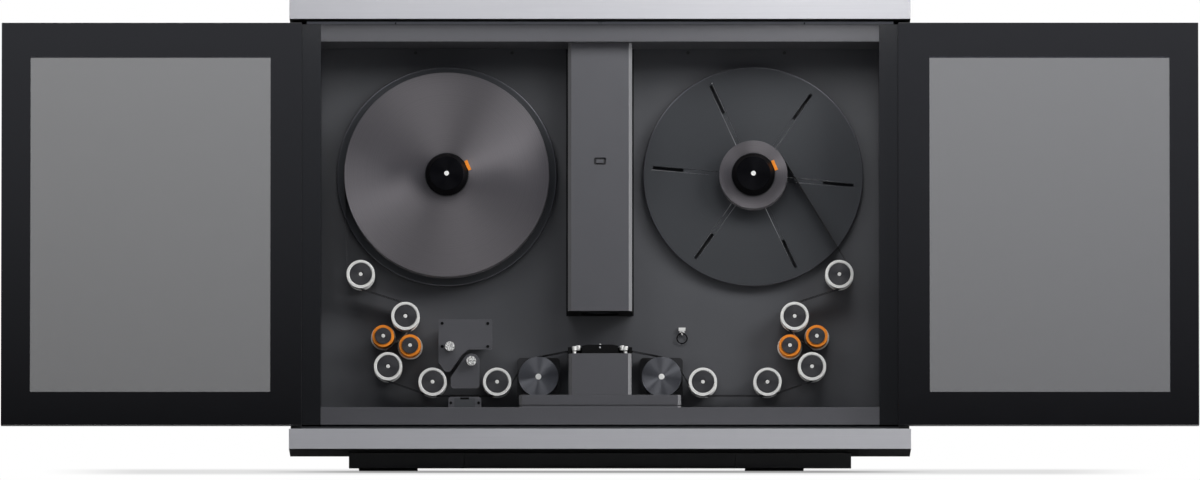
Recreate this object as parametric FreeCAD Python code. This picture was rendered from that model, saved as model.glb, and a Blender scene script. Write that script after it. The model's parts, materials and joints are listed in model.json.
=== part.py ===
import FreeCAD, Part
import math
import os

from FreeCAD import Vector

# A slim motion-picture film scanner with two reel platters, a threaded film path over rollers and a
# lit gate, a camera column above it and two glass doors that slide sideways on telescopic rails.
# Millimetres. +Z is up, the doors face -Y and X runs along the width. The origin is the middle of the
# footprint, on the floor. A place in depth is measured back from the front face of the bars.

# Cabinet stack, from the floor up
pad_height = 4.1
stand_height = 26.6
bar_height = 34.7
body_depth = 153.0
bar_wall = 3.0

# Front surround: sheet metal behind the doors
fascia_setback = 26.0
sheet = 3.0
fascia_height = 30.0
top_track = 6.2
bottom_track = 9.0
bay_width = 954.8
pillar_width = 51.1
wall_inset = 2.5
rail_bay_depth = 47.0

# Deck plate and rear cover
deck_rear_step = 2.0
deck_thickness = 4.0
cover_inset = 25.0
cover_lap = 5.4
cover_depth = 52.0
cover_wall = 2.0
vent_count = 14
vent_length = 90.0
vent_height = 4.0
vent_pitch = 12.0
vent_drop = 70.0
socket_bay_width = 170.0
socket_bay_height = 36.0
socket_bay_depth = 14.0
socket_bay_rise = 160.0
socket_lip = 6.0
socket_wall = 1.5
sockets = [(-55.0, 27.0, 20.0), (0.0, 16.0, 13.0), (25.0, 16.0, 13.0), (55.0, 13.0, 13.0)]

# Stand
foot_width = 197.1
foot_length = 188.0
foot_setback = 77.0
foot_inset = 101.6
foot_slope_height = 12.0
crossbar_step = 2.0
crossbar_depth = 70.0
pad_width = 100.5
pad_setback = 7.0
pad_shifts = (17.4, 15.2)

# Doors, drawn open as they stand in the rest pose
door_side_margin = 17.5
door_gap = 6.3
door_thickness = 24.0
glass_thickness = 4.0
open_overlap = 21.2
closed_half_gap = 0.5
window_inner = 53.3
window_outer = 49.2
window_bottom = 56.8
window_top = 58.2
door_skin = 3.0

# Telescopic rails and the hanger that hooks over the top fascia
rail_end_margin = 13.0
rail_height = 26.0
rail_sheet = 1.5
rail_depth = 11.5
rail_hook = 1.7
rail_clearance = 0.5
rail_centre_gap = 2.0
hanger_sheet = 1.4
hanger_lap = 25.0
hanger_reach = 8.4
hanger_neck = 10.0
fin_thickness = 2.0
fin_height = 6.6
fin_setback = 31.0
fin_side_clearance = 0.4
shoe_width = 18.0
shoe_wall = 2.3

# Reels
reel_rise = 406.5
reel_column_gap = 19.0
reel_wall_gap = 26.0
reel_ceiling_gap = 32.7
platter_face = 18.0
platter_thickness = 5.0
slot_width = 4.0
slot_inner = 120.0
slot_margin = 15.7
groove_inner = 58.0
groove_margin = 14.1
groove_width = 6.6
groove_depth = 1.2
slot_count = 6
slot_angle = 54.9
film_width = 35.0
roll_margin = 13.1
right_roll_radius = 58.5
core_radius = 37.5
core_bore_radius = 12.7
hub_fit = 0.1
hub_flange_radius = 36.4
hub_flange_thickness = 4.0
hub_cap_radius = 29.0
hub_cap_base_radius = 35.6
hub_cap_length = 19.0
hub_step = 1.2
hub_screw_radius = 4.1
hub_screw_height = 1.2
spindle_collar_radius = 14.0
spindle_radius = 6.0
spindle_length = 42.0

# Orange lock tab on each hub, on a tongue that slides outward in a slot of the hub's flange
tab_angle = 23.5
tab_outer = 42.5
tab_width = 18.0
tab_waist = 1.2
tab_thickness = 3.4
tongue_width = 8.0
tongue_inner = 29.0
tongue_height = 2.0
tab_clearance = 0.3

# Guide rollers: the first by its gap from the platter, measured round from below the reel, the others
# by half spacing from the middle and height over the bay floor
first_guide_gap = 13.2
first_guide_angle = 40.6
guide_places = [(333.2, 162.8), (362.8, 76.3), (286.6, 49.7), (176.1, 49.7)]
guide_flange_radius = 24.25
guide_drum_radius = 22.0
guide_flange_width = 3.0
guide_rim = 5.25
cap_gap = 0.4
cap_thickness = 3.0
cap_recess = 0.6
roller_face = 58.0
roller_length = 44.0
roller_web = 12.0
stud_radius = 4.0
running_gap = 0.05
stud_collar_radius = 8.0
collar_gap = 0.5
screw_head_radius = 3.95
screw_head_height = 1.0

# Particle transfer rollers: distance along the film from the second guide roller, and gap to the film
transfer_spots = [(50.9, 3.7), (27.2, -1.35)]
transfer_radius = 18.8
transfer_rim = 4.8
transfer_flange_radius = 21.35
transfer_face = 55.5

# Capstans and drive motors
capstan_x = 105.4
capstan_rise = 58.6
capstan_radius = 34.1
capstan_face = 57.0
capstan_length = 43.0
capstan_wall = 4.0
capstan_shaft_radius = 5.0
motor_face_size = 73.0
motor_face_height = 12.0
motor_corner = 6.5
motor_neck_radius = 20.0
motor_boss_radius = 19.0
motor_boss_height = 6.0
reel_motor_radius = 45.0
capstan_motor_size = 60.0
motor_length = 40.0

# Film
film_thickness = 0.3
film_clearance = 0.3
film_edge_gap = 0.4
roll_wrap_angle = 8.0

# Camera column
column_width = 110.0
column_face = 98.0
column_height = 460.2
column_wall = 3.0
edge_chamfer = 5.8
lens_hole_radius = 33.0
button_rise = 257.4
button_hole_width = 21.0
button_hole_height = 12.6
button_hole_corner = 3.0
button_width = 14.0
button_height = 7.6
button_corner = 1.8
button_sink = 1.0
button_flange = 2.0
button_flange_margin = 2.5
button_flange_gap = 0.3
switch_gap = 2.0
switch_width = 12.0
switch_height = 10.0
camera_width = 90.0
camera_height = 110.0
camera_body_depth = 76.0
camera_drop = 40.0
lens_radius = 30.0
lens_barrel_length = 210.0
lens_nose_radius = 24.0
lens_nose_length = 55.0

# Light source and film gate
light_width = 107.8
light_height = 71.2
light_wall = 3.0
light_window_radius = 17.0
light_base_width = 277.2
light_base_lower = 5.0
light_base_groove = 1.4
light_base_upper = 17.3
light_groove_inset = 2.0
led_width = 80.0
led_depth = 60.0
led_plate = 4.0
led_fin_height = 22.0
led_fin_count = 7
led_fin_thickness = 2.5
led_block_radius = 15.0
led_block_height = 24.0
gate_width = 110.0
gate_end_height = 11.0
gate_floor = 4.0
gate_step_half = 31.0
gate_step_rise = 13.6
gate_crest_half = 21.0
gate_crest_rise = 15.6
gate_cheek_face = 92.0
skid_radius = 245.0
skid_top_rise = 14.6
skid_side_gap = 0.6
aperture_width = 26.0
aperture_depth = 20.0
pin_pocket_outer = 49.5
pin_pocket_depth = 36.0
pin_places = [(43.9, 4.5, 5.8, 12.8), (37.6, 31.0, 8.4, 16.6)]
pin_radius = 3.0
pin_head_radius = 3.9
gate_dot_radius = 1.6
gate_dot_rise = 10.6
gate_tip_radius = 1.6
gate_tip_height = 1.2

# Edge-code and sound reader, on the left only
reader_face = 60.0
reader_plate_thickness = 6.0
reader_left = 276.4
reader_right = 184.8
reader_top = 156.6
reader_shelf = 104.9
reader_corner = 3.0
reader_throat = 225.1
reader_tip = [(235.9, 96.5), (256.5, 66.9), (264.9, 66.5), (276.4, 82.3)]
reader_tip_corner = 4.0
reader_block_inset = 9.0
arm_left = 255.6
arm_bottom = 37.9
arm_heel = 57.1
arm_head_radius = 13.6
arm_corner = 5.5
arm_boss_radius = 11.0
arm_back_gap = 0.3
knob_radius = 8.2
knob_height = 12.0
knob_neck = 3.6
knob_shaft_radius = 3.0
knob_shaft_length = 30.0
knob_slot_width = 1.6
knob_slot_depth = 1.4
upper_knob = (256.9, 109.4)
lower_knob = (220.2, 84.3)
reader_screws = [(270.2, 149.9), (192.0, 149.7), (270.2, 110.1), (192.0, 110.1)]
reader_screw_radius = 2.2

# Small connector panel under the reader, and the hanging ring on the right
panel_left = 259.8
panel_right = 203.3
panel_top = 30.0
panel_face = 4.0
panel_corner = 3.0
panel_recess_left = 248.3
panel_recess_right = 214.2
panel_recess_top = 26.2
panel_recess_bottom = 5.0
panel_recess_depth = 3.0
panel_screws = [(255.2, 19.0), (207.5, 19.0)]
panel_screw_radius = 2.0
ring_x = 140.6
ring_rise = 128.8
ring_radius = 8.6
ring_wire_radius = 1.0
ring_standoff = 4.5
eye_radius = 3.2
eye_hole_radius = 1.35
eye_width = 2.5
peg_width = 11.8
peg_height = 5.4
peg_depth = 7.0
peg_lift = 4.6

# Deck screws near the ceiling and the boards behind the deck
deck_screw_places = [316.5, 151.0]
deck_screw_drop = 6.4
deck_screw_radius = 3.0
deck_screw_height = 1.0
board_width = 360.0
board_height = 190.0
board_thickness = 2.0
board_standoff = 10.0
board_rise = 210.0
standoff_radius = 4.0
standoff_margin = 12.0
chip_size = 60.0
chip_height = 16.0
supply_width = 210.0
supply_height = 110.0
supply_depth = 40.0
supply_side_gap = 71.0
supply_rise = 150.0

# Levels worked out from the sizes above
half_bay = bay_width / 2
wall_outer = half_bay + pillar_width
half_body = wall_outer + wall_inset
body_width = 2 * half_body
platter_radius = (half_bay - column_width / 2 - reel_column_gap - reel_wall_gap) / 2
reel_x = half_bay - reel_wall_gap - platter_radius
left_roll_radius = platter_radius - roll_margin
bottom_bar_z = pad_height + stand_height
bay_low = bottom_bar_z + bar_height
fascia_low = bay_low + bottom_track
floor_z = fascia_low + fascia_height
reel_z = floor_z + reel_rise
ceiling_z = reel_z + platter_radius + reel_ceiling_gap
fascia_high = ceiling_z + fascia_height
bay_high = fascia_high + top_track
top_bar_z = bay_high
body_back = body_depth + cover_depth
overall_depth = max(foot_setback + foot_length, body_back)
front_y = -overall_depth / 2
deck_setback = body_depth - deck_rear_step
deck_back = deck_setback + deck_thickness
fascia_back = fascia_setback + sheet
film_front = deck_setback - platter_face - film_width
film_back = deck_setback - platter_face
light_low = floor_z + light_base_lower + light_base_groove + light_base_upper
gate_low = light_low + light_height
gate_front = deck_setback - gate_cheek_face
skid_centre_z = gate_low + skid_top_rise - skid_radius
first_guide_reach = platter_radius + first_guide_gap + guide_flange_radius
first_guide = (reel_x + first_guide_reach * math.sin(math.radians(first_guide_angle)),
               reel_rise - first_guide_reach * math.cos(math.radians(first_guide_angle)))
guide_line = [first_guide] + guide_places
UP = Vector(0, 0, 1)
BACK = Vector(0, 1, 0)
RIGHT = Vector(1, 0, 0)


def block(x0, x1, d0, d1, z0, z1):
    """Box between two places in width, depth and height."""
    corner = Vector(min(x0, x1), front_y + min(d0, d1), min(z0, z1))
    return Part.makeBox(abs(x1 - x0), abs(d1 - d0), abs(z1 - z0), corner)


def rod(x, z, radius, d0, d1):
    """Round bar along the depth."""
    return Part.makeCylinder(radius, d1 - d0, Vector(x, front_y + d0, z), BACK)


def tube(x, z, outer, inner, d0, d1):
    """Round sleeve along the depth."""
    return rod(x, z, outer, d0, d1).cut(rod(x, z, inner, d0, d1))


def post(x, d, radius, z0, z1):
    """Upright round bar."""
    return Part.makeCylinder(radius, z1 - z0, Vector(x, front_y + d, z0), UP)


def plate(edges, d0, d1):
    """Flat outline in the X-Z plane, pushed back from d0 to d1."""
    face = Part.Face(Part.Wire(edges))
    face.translate(Vector(0, front_y + d0, 0))
    return face.extrude(BACK * (d1 - d0))


def polygon(points):
    """Straight edges through points (x, z), closed."""
    corners = [Vector(x, 0, z) for x, z in points]
    return [Part.LineSegment(a, b).toShape() for a, b in zip(corners, corners[1:] + corners[:1])]


def rounded(edges, d0, d1, corners):
    """Plate with a fillet on each depth-wise edge at a listed place (x, z, radius)."""
    solid = plate(edges, d0, d1)
    for x, z, radius in corners:
        edge = [e for e in solid.Edges
                if abs(e.CenterOfMass.x - x) < 0.01 and abs(e.CenterOfMass.z - z) < 0.01
                and abs(e.Length - abs(d1 - d0)) < 0.01]
        solid = solid.makeFillet(radius, edge)
    return solid


def rounded_box(x0, x1, z0, z1, radius, d0, d1):
    """Rectangle with four round corners, pushed back from d0 to d1."""
    points = [(x0, z0), (x1, z0), (x1, z1), (x0, z1)]
    return rounded(polygon(points), d0, d1, [(x, z, radius) for x, z in points])


def profile(points, x0, x1):
    """Outline in the depth-height plane, extruded along the width."""
    corners = [Vector(x0, front_y + d, z) for d, z in points]
    edges = [Part.LineSegment(a, b).toShape() for a, b in zip(corners, corners[1:] + corners[:1])]
    return Part.Face(Part.Wire(edges)).extrude(RIGHT * (x1 - x0))


def fuse(first, *others):
    """One solid out of several that touch or overlap."""
    return first.multiFuse(list(others)).removeSplitter()


def cut(first, *others):
    """The first solid without the others."""
    return first.cut(list(others))


def mirrored(shape):
    """The same piece on the other side of the middle."""
    return shape.mirror(Vector(0, 0, 0), RIGHT)


def turned(shape, x, z, degrees):
    """The piece turned about a line along the depth, counter-clockwise seen from the front."""
    copy = shape.copy()
    copy.rotate(Vector(x, 0, z), Vector(0, -1, 0), degrees)
    return copy


def save(name, *solids):
    """Writes one sub-part."""
    shape = solids[0] if len(solids) == 1 else Part.makeCompound(list(solids))
    assert shape.isValid(), name
    shape.exportStep("parts/" + name + ".step")


def make_bars():
    """Hollow silver extrusions: the top one, and the bottom one with the fin that guides the doors."""
    bars = [cut(block(-half_body, half_body, 0, body_depth, z, z + bar_height),
                block(-half_body + bar_wall, half_body - bar_wall, bar_wall,
                      body_depth - bar_wall, z + bar_wall, z + bar_height - bar_wall))
            for z in (bottom_bar_z, top_bar_z)]
    fin = block(-wall_outer, wall_outer, fin_setback, fin_setback + fin_thickness,
                bay_low, bay_low + fin_height)
    save("bottom_bar", fuse(bars[0], fin))
    save("top_bar", bars[1])


def make_side_walls():
    """Black posts beside the bay. Their front corners stand clear of the door rails and the fin."""
    low_front = block(half_bay, wall_outer, fascia_setback, fascia_back, fascia_low, fascia_high)
    skins = [low_front, block(half_bay, wall_outer, body_depth - sheet, body_depth, bay_low, bay_high)]
    for x0, x1 in ((half_bay, half_bay + sheet), (wall_outer - sheet, wall_outer)):
        skins.append(block(x0, x1, fascia_setback, body_depth, fascia_low, ceiling_z + sheet))
        skins.append(block(x0, x1, rail_bay_depth, body_depth, bay_low, bay_high))
    right = fuse(*skins)
    save("side_walls", mirrored(right), right)


def make_fascias():
    """Grey strips above and below the bay, each with the ceiling or floor behind it."""
    top = fuse(block(-half_bay, half_bay, fascia_setback, fascia_back, ceiling_z, fascia_high),
               block(-half_bay, half_bay, fascia_setback, deck_setback, ceiling_z, ceiling_z + sheet))
    bottom = fuse(block(-half_bay, half_bay, fascia_setback, fascia_back, fascia_low, floor_z),
                  block(-half_bay, half_bay, fascia_setback, deck_setback, floor_z - sheet, floor_z))
    save("front_fascias", top, bottom)


def make_deck():
    """Plate that carries the reels, rollers and motors, with a clear hole for each motor."""
    deck = block(-half_bay, half_bay, deck_setback, deck_back, bay_low, bay_high)
    holes = []
    for side in (-1, 1):
        holes.append(rod(side * reel_x, reel_z, motor_neck_radius, deck_setback, deck_back))
        holes.append(rod(side * capstan_x, floor_z + capstan_rise, motor_neck_radius,
                         deck_setback, deck_back))
    save("deck_plate", cut(deck, *holes))


def make_rear_cover():
    """Sheet tray over the electronics, with vents and a sunk bay for the sockets."""
    x = half_body - cover_inset
    z0 = bay_low - cover_lap
    z1 = bay_high + cover_lap
    shell = cut(block(-x, x, body_depth, body_back, z0, z1),
                block(-x + cover_wall, x - cover_wall, body_depth, body_back - cover_wall,
                      z0 + cover_wall, z1 - cover_wall))
    bay_z = z0 + socket_bay_rise
    bay = block(-socket_bay_width / 2, socket_bay_width / 2, body_back - socket_bay_depth, body_back,
                bay_z, bay_z + socket_bay_height)
    cup = block(-socket_bay_width / 2 - cover_wall, socket_bay_width / 2 + cover_wall,
                body_back - socket_bay_depth - cover_wall, body_back,
                bay_z - cover_wall, bay_z + socket_bay_height + cover_wall)
    vents = []
    for side in (-1, 1):
        for row in range(vent_count):
            z = z1 - vent_drop - row * vent_pitch
            vents.append(block(side * supply_x - vent_length / 2, side * supply_x + vent_length / 2,
                               body_back - cover_wall, body_back, z - vent_height, z))
    tray = cut(fuse(shell, cup), bay, *vents)
    seat = body_back - socket_bay_depth
    middle = bay_z + socket_bay_height / 2
    frames = [cut(block(x - w / 2, x + w / 2, seat, seat + socket_lip, middle - h / 2, middle + h / 2),
                  block(x - w / 2 + socket_wall, x + w / 2 - socket_wall, seat, seat + socket_lip,
                        middle - h / 2 + socket_wall, middle + h / 2 - socket_wall))
              for x, w, h in sockets]
    save("rear_cover", fuse(tray, *frames))


def make_stand():
    """Two feet joined by a lower crossbar, on rubber pads that sit off the middle of each foot."""
    outer = half_body - foot_inset
    inner = outer - foot_width
    back = foot_setback + foot_length
    side = [(foot_setback, pad_height), (back, pad_height), (back, pad_height + foot_slope_height),
            (body_depth, bottom_bar_z), (foot_setback, bottom_bar_z)]
    feet = [profile(side, -outer, -inner), profile(side, inner, outer)]
    bar = block(-inner, inner, foot_setback + crossbar_step, foot_setback + crossbar_depth,
                pad_height + crossbar_step, bottom_bar_z)
    save("stand_frame", *feet, bar)
    pads = [block(x + shift, x + shift + pad_width, foot_setback + pad_setback, back - pad_setback,
                  0, pad_height)
            for x, shift in zip((-outer, inner), pad_shifts)]
    save("stand_pads", *pads)


door_low = bay_low + door_gap
door_high = bay_high - door_gap
door_inner = half_body - open_overlap
door_width = half_body - closed_half_gap - door_side_margin
door_outer = door_inner + door_width
door_travel = door_inner - closed_half_gap
rail_low = ceiling_z + sheet
rail_high = rail_low + rail_height
rail_middle = (rail_low + rail_high) / 2
rail_front = fascia_setback + hanger_reach - hanger_sheet
rail_back = rail_front + rail_depth
rail_inner = rail_centre_gap
rail_length = door_width - rail_end_margin
rail_outer = rail_centre_gap + rail_length
supply_x = half_body - cover_inset - supply_side_gap - supply_width / 2


def channel(level, x0, x1):
    """Hooked channel section of the telescopic rail. Level 0 is the fixed one, level 1 runs in it."""
    step = level * (rail_sheet + rail_clearance)
    front = rail_front + step
    back = rail_back - level * (rail_sheet + rail_clearance)
    low = rail_low + step
    high = rail_high - step
    outer = [(front, low), (back, low), (back, high), (front, high)]
    inside = [(front + rail_sheet, low + rail_sheet), (back - rail_sheet, low + rail_sheet),
              (back - rail_sheet, high - rail_sheet), (front + rail_sheet, high - rail_sheet)]
    mouth = [(front, low + rail_sheet + rail_hook), (front + rail_sheet, low + rail_sheet + rail_hook),
             (front + rail_sheet, high - rail_sheet - rail_hook), (front, high - rail_sheet - rail_hook)]
    return cut(profile(outer, x0, x1), profile(inside, x0, x1), profile(mouth, x0, x1))


def make_rails():
    """Fixed rails, hung from the top bar, and the middle members drawn halfway out."""
    hanging = block(rail_inner, rail_outer, rail_back - rail_sheet, rail_back, rail_low, bay_high)
    fixed = fuse(channel(0, rail_inner, rail_outer), hanging)
    save("door_rails", mirrored(fixed), fixed)
    shift = door_travel / 2
    middle = channel(1, rail_inner + shift, rail_outer + shift)
    save("left_slide_middle", mirrored(middle))
    save("right_slide_middle", middle)


def make_doors():
    """Flush glass sheet on a hollow frame. The frame has the rail tongue and a foot on the fin."""
    ring = cut(block(door_inner, door_outer, glass_thickness, door_thickness, door_low, door_high),
               block(door_inner + window_inner, door_outer - window_outer, glass_thickness,
                     door_thickness, door_low + window_bottom, door_high - window_top))
    hollow = cut(block(door_inner + door_skin, door_outer - door_skin, glass_thickness,
                       door_thickness - door_skin, door_low + door_skin, door_high - door_skin),
                 block(door_inner + window_inner - door_skin, door_outer - window_outer + door_skin,
                       glass_thickness, door_thickness - door_skin,
                       door_low + window_bottom - door_skin, door_high - window_top + door_skin))
    tongue_step = 2 * (rail_sheet + rail_clearance)
    tongue_front = rail_front + tongue_step
    leg_back = rail_front - rail_clearance
    leg_front = leg_back - hanger_sheet
    hook_high = fascia_high + rail_clearance + hanger_sheet
    x0 = door_inner
    x1 = door_inner + rail_length
    front_leg = block(x0, x1, door_thickness, door_thickness + hanger_sheet,
                      door_high - hanger_lap, hook_high)
    over = block(x0, x1, door_thickness, leg_back, hook_high - hanger_sheet, hook_high)
    back_leg = block(x0, x1, leg_front, leg_back, rail_middle - hanger_neck / 2, hook_high)
    neck = block(x0, x1, leg_back, tongue_front, rail_middle - hanger_neck / 2,
                 rail_middle + hanger_neck / 2)
    tongue = block(x0, x1, tongue_front, tongue_front + rail_sheet, rail_low + tongue_step,
                   rail_high - tongue_step)
    shoe_x0 = door_inner
    shoe_x1 = door_inner + shoe_width
    fin_front = fin_setback - fin_side_clearance
    fin_rear = fin_setback + fin_thickness + fin_side_clearance
    fin_top = bay_low + fin_height + fin_side_clearance
    shoe_high = fin_top + hanger_sheet
    heel = block(shoe_x0, shoe_x1, door_thickness, door_thickness + hanger_sheet, fin_top,
                 door_low + hanger_lap)
    sole = block(shoe_x0, shoe_x1, door_thickness, fin_rear + shoe_wall, fin_top, shoe_high)
    prongs = [block(shoe_x0, shoe_x1, d, d + shoe_wall, bay_low + rail_clearance, shoe_high)
              for d in (fin_front - shoe_wall, fin_rear)]
    frame = fuse(cut(ring, hollow), front_leg, over, back_leg, neck, tongue, heel, sole, *prongs)
    glass = block(door_inner, door_outer, 0, glass_thickness, door_low, door_high)
    save("left_door_frame", mirrored(frame))
    save("right_door_frame", frame)
    save("left_door_glass", mirrored(glass))
    save("right_door_glass", glass)


def make_platter(x, z):
    """Disc with six thin slots, each continued towards the hub as a shallow groove."""
    face = deck_setback - platter_face
    back = face + platter_thickness
    disc = tube(x, z, platter_radius, spindle_radius, face, back)
    cuts = []
    for index in range(slot_count):
        angle = slot_angle + index * 360 / slot_count
        slot = rounded_box(x + slot_inner, x + platter_radius - slot_margin, z - slot_width / 2, z + slot_width / 2,
                           slot_width / 2 - 0.01, face, back)
        groove = block(x + groove_inner, x + platter_radius - groove_margin, face, face + groove_depth,
                       z - groove_width / 2, z + groove_width / 2)
        cuts += [turned(slot, x, z, angle), turned(groove, x, z, angle)]
    return cut(disc, *cuts)


def make_hub(x, z):
    """Tapered cap, flange with the tab's slot, the nose through the core and the spindle behind it."""
    cap_front = film_front - hub_flange_thickness - hub_cap_length
    flange_front = film_front - hub_flange_thickness
    platter_back = film_back + platter_thickness
    boss_front = deck_setback - motor_boss_height
    cap = Part.makeCone(hub_cap_radius, hub_cap_base_radius, hub_cap_length,
                        Vector(x, front_y + cap_front, z), BACK)
    cap = cap.makeFillet(hub_step, [e for e in cap.Edges if e.BoundBox.YLength < 0.01
                                    and e.BoundBox.YMax < front_y + cap_front + 0.01])
    screw = rod(x, z, hub_screw_radius, cap_front - hub_screw_height, cap_front)
    flange = rod(x, z, hub_flange_radius, flange_front, film_front)
    nose = rod(x, z, core_bore_radius - hub_fit, film_front, film_back)
    spindle = rod(x, z, spindle_radius, film_back, boss_front + spindle_length)
    collar = rod(x, z, spindle_collar_radius, platter_back, boss_front - collar_gap)
    half = tongue_width / 2 + tab_clearance
    slot = block(x + tongue_inner - tab_clearance, x + hub_flange_radius + 1,
                 film_front - tongue_height - 2 * tab_clearance, film_front, z - half, z + half)
    return cut(fuse(cap, screw, flange, nose, spindle, collar), turned(slot, x, z, tab_angle))


def make_lock_tab(x, z):
    """Orange tab with hollow long sides, and the tongue that slides in the hub's slot."""
    back = film_front - tab_clearance
    front = back - tab_thickness
    half = tab_width / 2
    inner = x + hub_flange_radius + tab_clearance
    outer = x + tab_outer
    sides = [Part.Arc(Vector(outer, 0, z - half), Vector(outer - tab_waist, 0, z),
                      Vector(outer, 0, z + half)).toShape(),
             Part.LineSegment(Vector(outer, 0, z + half), Vector(inner, 0, z + half)).toShape(),
             Part.Arc(Vector(inner, 0, z + half), Vector(inner + tab_waist, 0, z),
                      Vector(inner, 0, z - half)).toShape(),
             Part.LineSegment(Vector(inner, 0, z - half), Vector(outer, 0, z - half)).toShape()]
    tongue = block(x + tongue_inner, inner + 2 * tab_waist, back - tongue_height, back,
                   z - tongue_width / 2, z + tongue_width / 2)
    return turned(fuse(plate(sides, front, back), tongue), x, z, tab_angle)


def make_reels():
    """Both reels: a full roll on the left and the first turns of film on the right."""
    z = reel_z
    for name, side, roll_radius in (("left", -1, left_roll_radius), ("right", 1, right_roll_radius)):
        x = side * reel_x
        save(name + "_platter", make_platter(x, z))
        save(name + "_hub", make_hub(x, z))
        save(name + "_lock_tab", make_lock_tab(x, z))
        save(name + "_core", tube(x, z, core_radius, core_bore_radius, film_front, film_back))
        save(name + "_film_roll", tube(x, z, roll_radius, core_radius, film_front, film_back))


def make_guide_roller(x, z):
    """Drum with two flanges, a cupped front for the fixed cap and a web that turns on the stud."""
    front = deck_setback - roller_face
    back = front + roller_length
    drum = rod(x, z, guide_drum_radius, front, back)
    flanges = [rod(x, z, guide_flange_radius, d, d + guide_flange_width)
               for d in (front, back - guide_flange_width)]
    cup = guide_flange_radius - guide_rim
    web_front = (front + back - roller_web) / 2
    cups = [rod(x, z, cup, front, web_front), rod(x, z, cup, web_front + roller_web, back)]
    return cut(fuse(drum, *flanges), *cups, rod(x, z, stud_radius + running_gap, front, back))


def make_transfer_roller(x, z):
    """Soft sleeve with a wider disc behind it."""
    front = deck_setback - transfer_face
    back = deck_setback - roller_face + roller_length
    body = fuse(rod(x, z, transfer_radius, front, back),
                rod(x, z, transfer_flange_radius, back - guide_flange_width, back))
    cup = transfer_radius - transfer_rim
    web_front = (front + back - roller_web) / 2
    cups = [rod(x, z, cup, front, web_front), rod(x, z, cup, web_front + roller_web, back)]
    return cut(body, *cups, rod(x, z, stud_radius + running_gap, front, back))


def make_stud(x, z, cap_radius, face):
    """Fixed stud: a collar on the deck, the journal and the cap in the roller's mouth."""
    front = deck_setback - face + cap_recess
    rear = deck_setback - roller_face + roller_length + collar_gap
    return fuse(rod(x, z, cap_radius, front, front + cap_thickness),
                rod(x, z, stud_radius, front, deck_setback),
                rod(x, z, stud_collar_radius, rear, deck_setback))


def make_rollers():
    """Ten guide rollers and four transfer rollers, the same on both sides."""
    studs = []
    places = transfer_places()
    guide_cap = guide_flange_radius - guide_rim - cap_gap
    transfer_cap = transfer_radius - transfer_rim - cap_gap
    for name, side in (("left", -1), ("right", 1)):
        for index, (x, rise) in enumerate(guide_line):
            save("%s_guide_roller_%d" % (name, index + 1), make_guide_roller(side * x, floor_z + rise))
            studs.append(make_stud(side * x, floor_z + rise, guide_cap, roller_face))
        for index, (x, z) in enumerate(places):
            save("%s_transfer_roller_%d" % (name, index + 1), make_transfer_roller(side * x, z))
            studs.append(make_stud(side * x, z, transfer_cap, transfer_face))
    save("roller_studs", *studs)


def make_capstans():
    """Cupped drive drums, each on its motor's shaft."""
    z = floor_z + capstan_rise
    front = deck_setback - capstan_face
    back = front + capstan_length
    for name, side in (("left", -1), ("right", 1)):
        x = side * capstan_x
        drum = cut(rod(x, z, capstan_radius, front, back),
                   rod(x, z, capstan_radius - capstan_wall, front + 2 * capstan_wall, back))
        shaft = rod(x, z, capstan_shaft_radius, front, deck_setback + spindle_length)
        save(name + "_capstan", fuse(drum, shaft))


def make_motors():
    """Reel motors behind the deck, and capstan motors with a square face in front of it."""
    motors = []
    end = deck_back + motor_length
    for side in (-1, 1):
        x = side * reel_x
        z = reel_z
        neck = rod(x, z, motor_neck_radius, deck_setback, deck_back)
        boss = rod(x, z, motor_boss_radius, deck_setback - motor_boss_height, deck_setback)
        can = rod(x, z, reel_motor_radius, deck_back, end)
        bore = rod(x, z, spindle_radius + running_gap, deck_setback - motor_boss_height, end)
        motors.append(cut(fuse(neck, boss, can), bore))
        x = side * capstan_x
        z = floor_z + capstan_rise
        half = motor_face_size / 2
        face = rounded_box(x - half, x + half, light_low, z + half, motor_corner,
                           deck_setback - motor_face_height, deck_setback)
        neck = rod(x, z, motor_neck_radius, deck_setback, deck_back)
        half = capstan_motor_size / 2
        can = rounded_box(x - half, x + half, z - half, z + half, motor_corner, deck_back, end)
        bore = rod(x, z, capstan_shaft_radius + running_gap, deck_setback - motor_face_height, end)
        motors.append(cut(fuse(face, neck, can), bore))
    save("drive_motors", *motors)


def film_wheels():
    """Everything the film bends round from left to right: centre, radius and the side it is on.
    Side 1 is a centre on the left of the running film, so that wheel turns counter-clockwise."""
    gap = film_clearance + film_thickness / 2
    guides = [(x, floor_z + rise, guide_drum_radius + gap) for x, rise in guide_line]
    sides = (1, -1, 1, 1, 1)
    half = [guide + (side,) for guide, side in zip(guides, sides)]
    half.append((capstan_x, floor_z + capstan_rise, capstan_radius + gap, -1))
    left = [(-x, z, r, s) for x, z, r, s in half]
    return ([(-reel_x, reel_z, left_roll_radius + gap, 1)] + left
            + [(0, skid_centre_z, skid_radius + film_thickness / 2, -1)]
            + half[::-1] + [(reel_x, reel_z, right_roll_radius + gap, 1)])


def tangent(a, b):
    """Points where the straight run leaves wheel a and meets wheel b."""
    ax, az, ar, a_side = a
    bx, bz, br, b_side = b
    length = math.hypot(bx - ax, bz - az)
    heading = math.atan2(bz - az, bx - ax) + math.asin((a_side * ar - b_side * br) / length)
    nx = math.sin(heading)
    nz = -math.cos(heading)
    return ((ax + a_side * ar * nx, az + a_side * ar * nz),
            (bx + b_side * br * nx, bz + b_side * br * nz))


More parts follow.
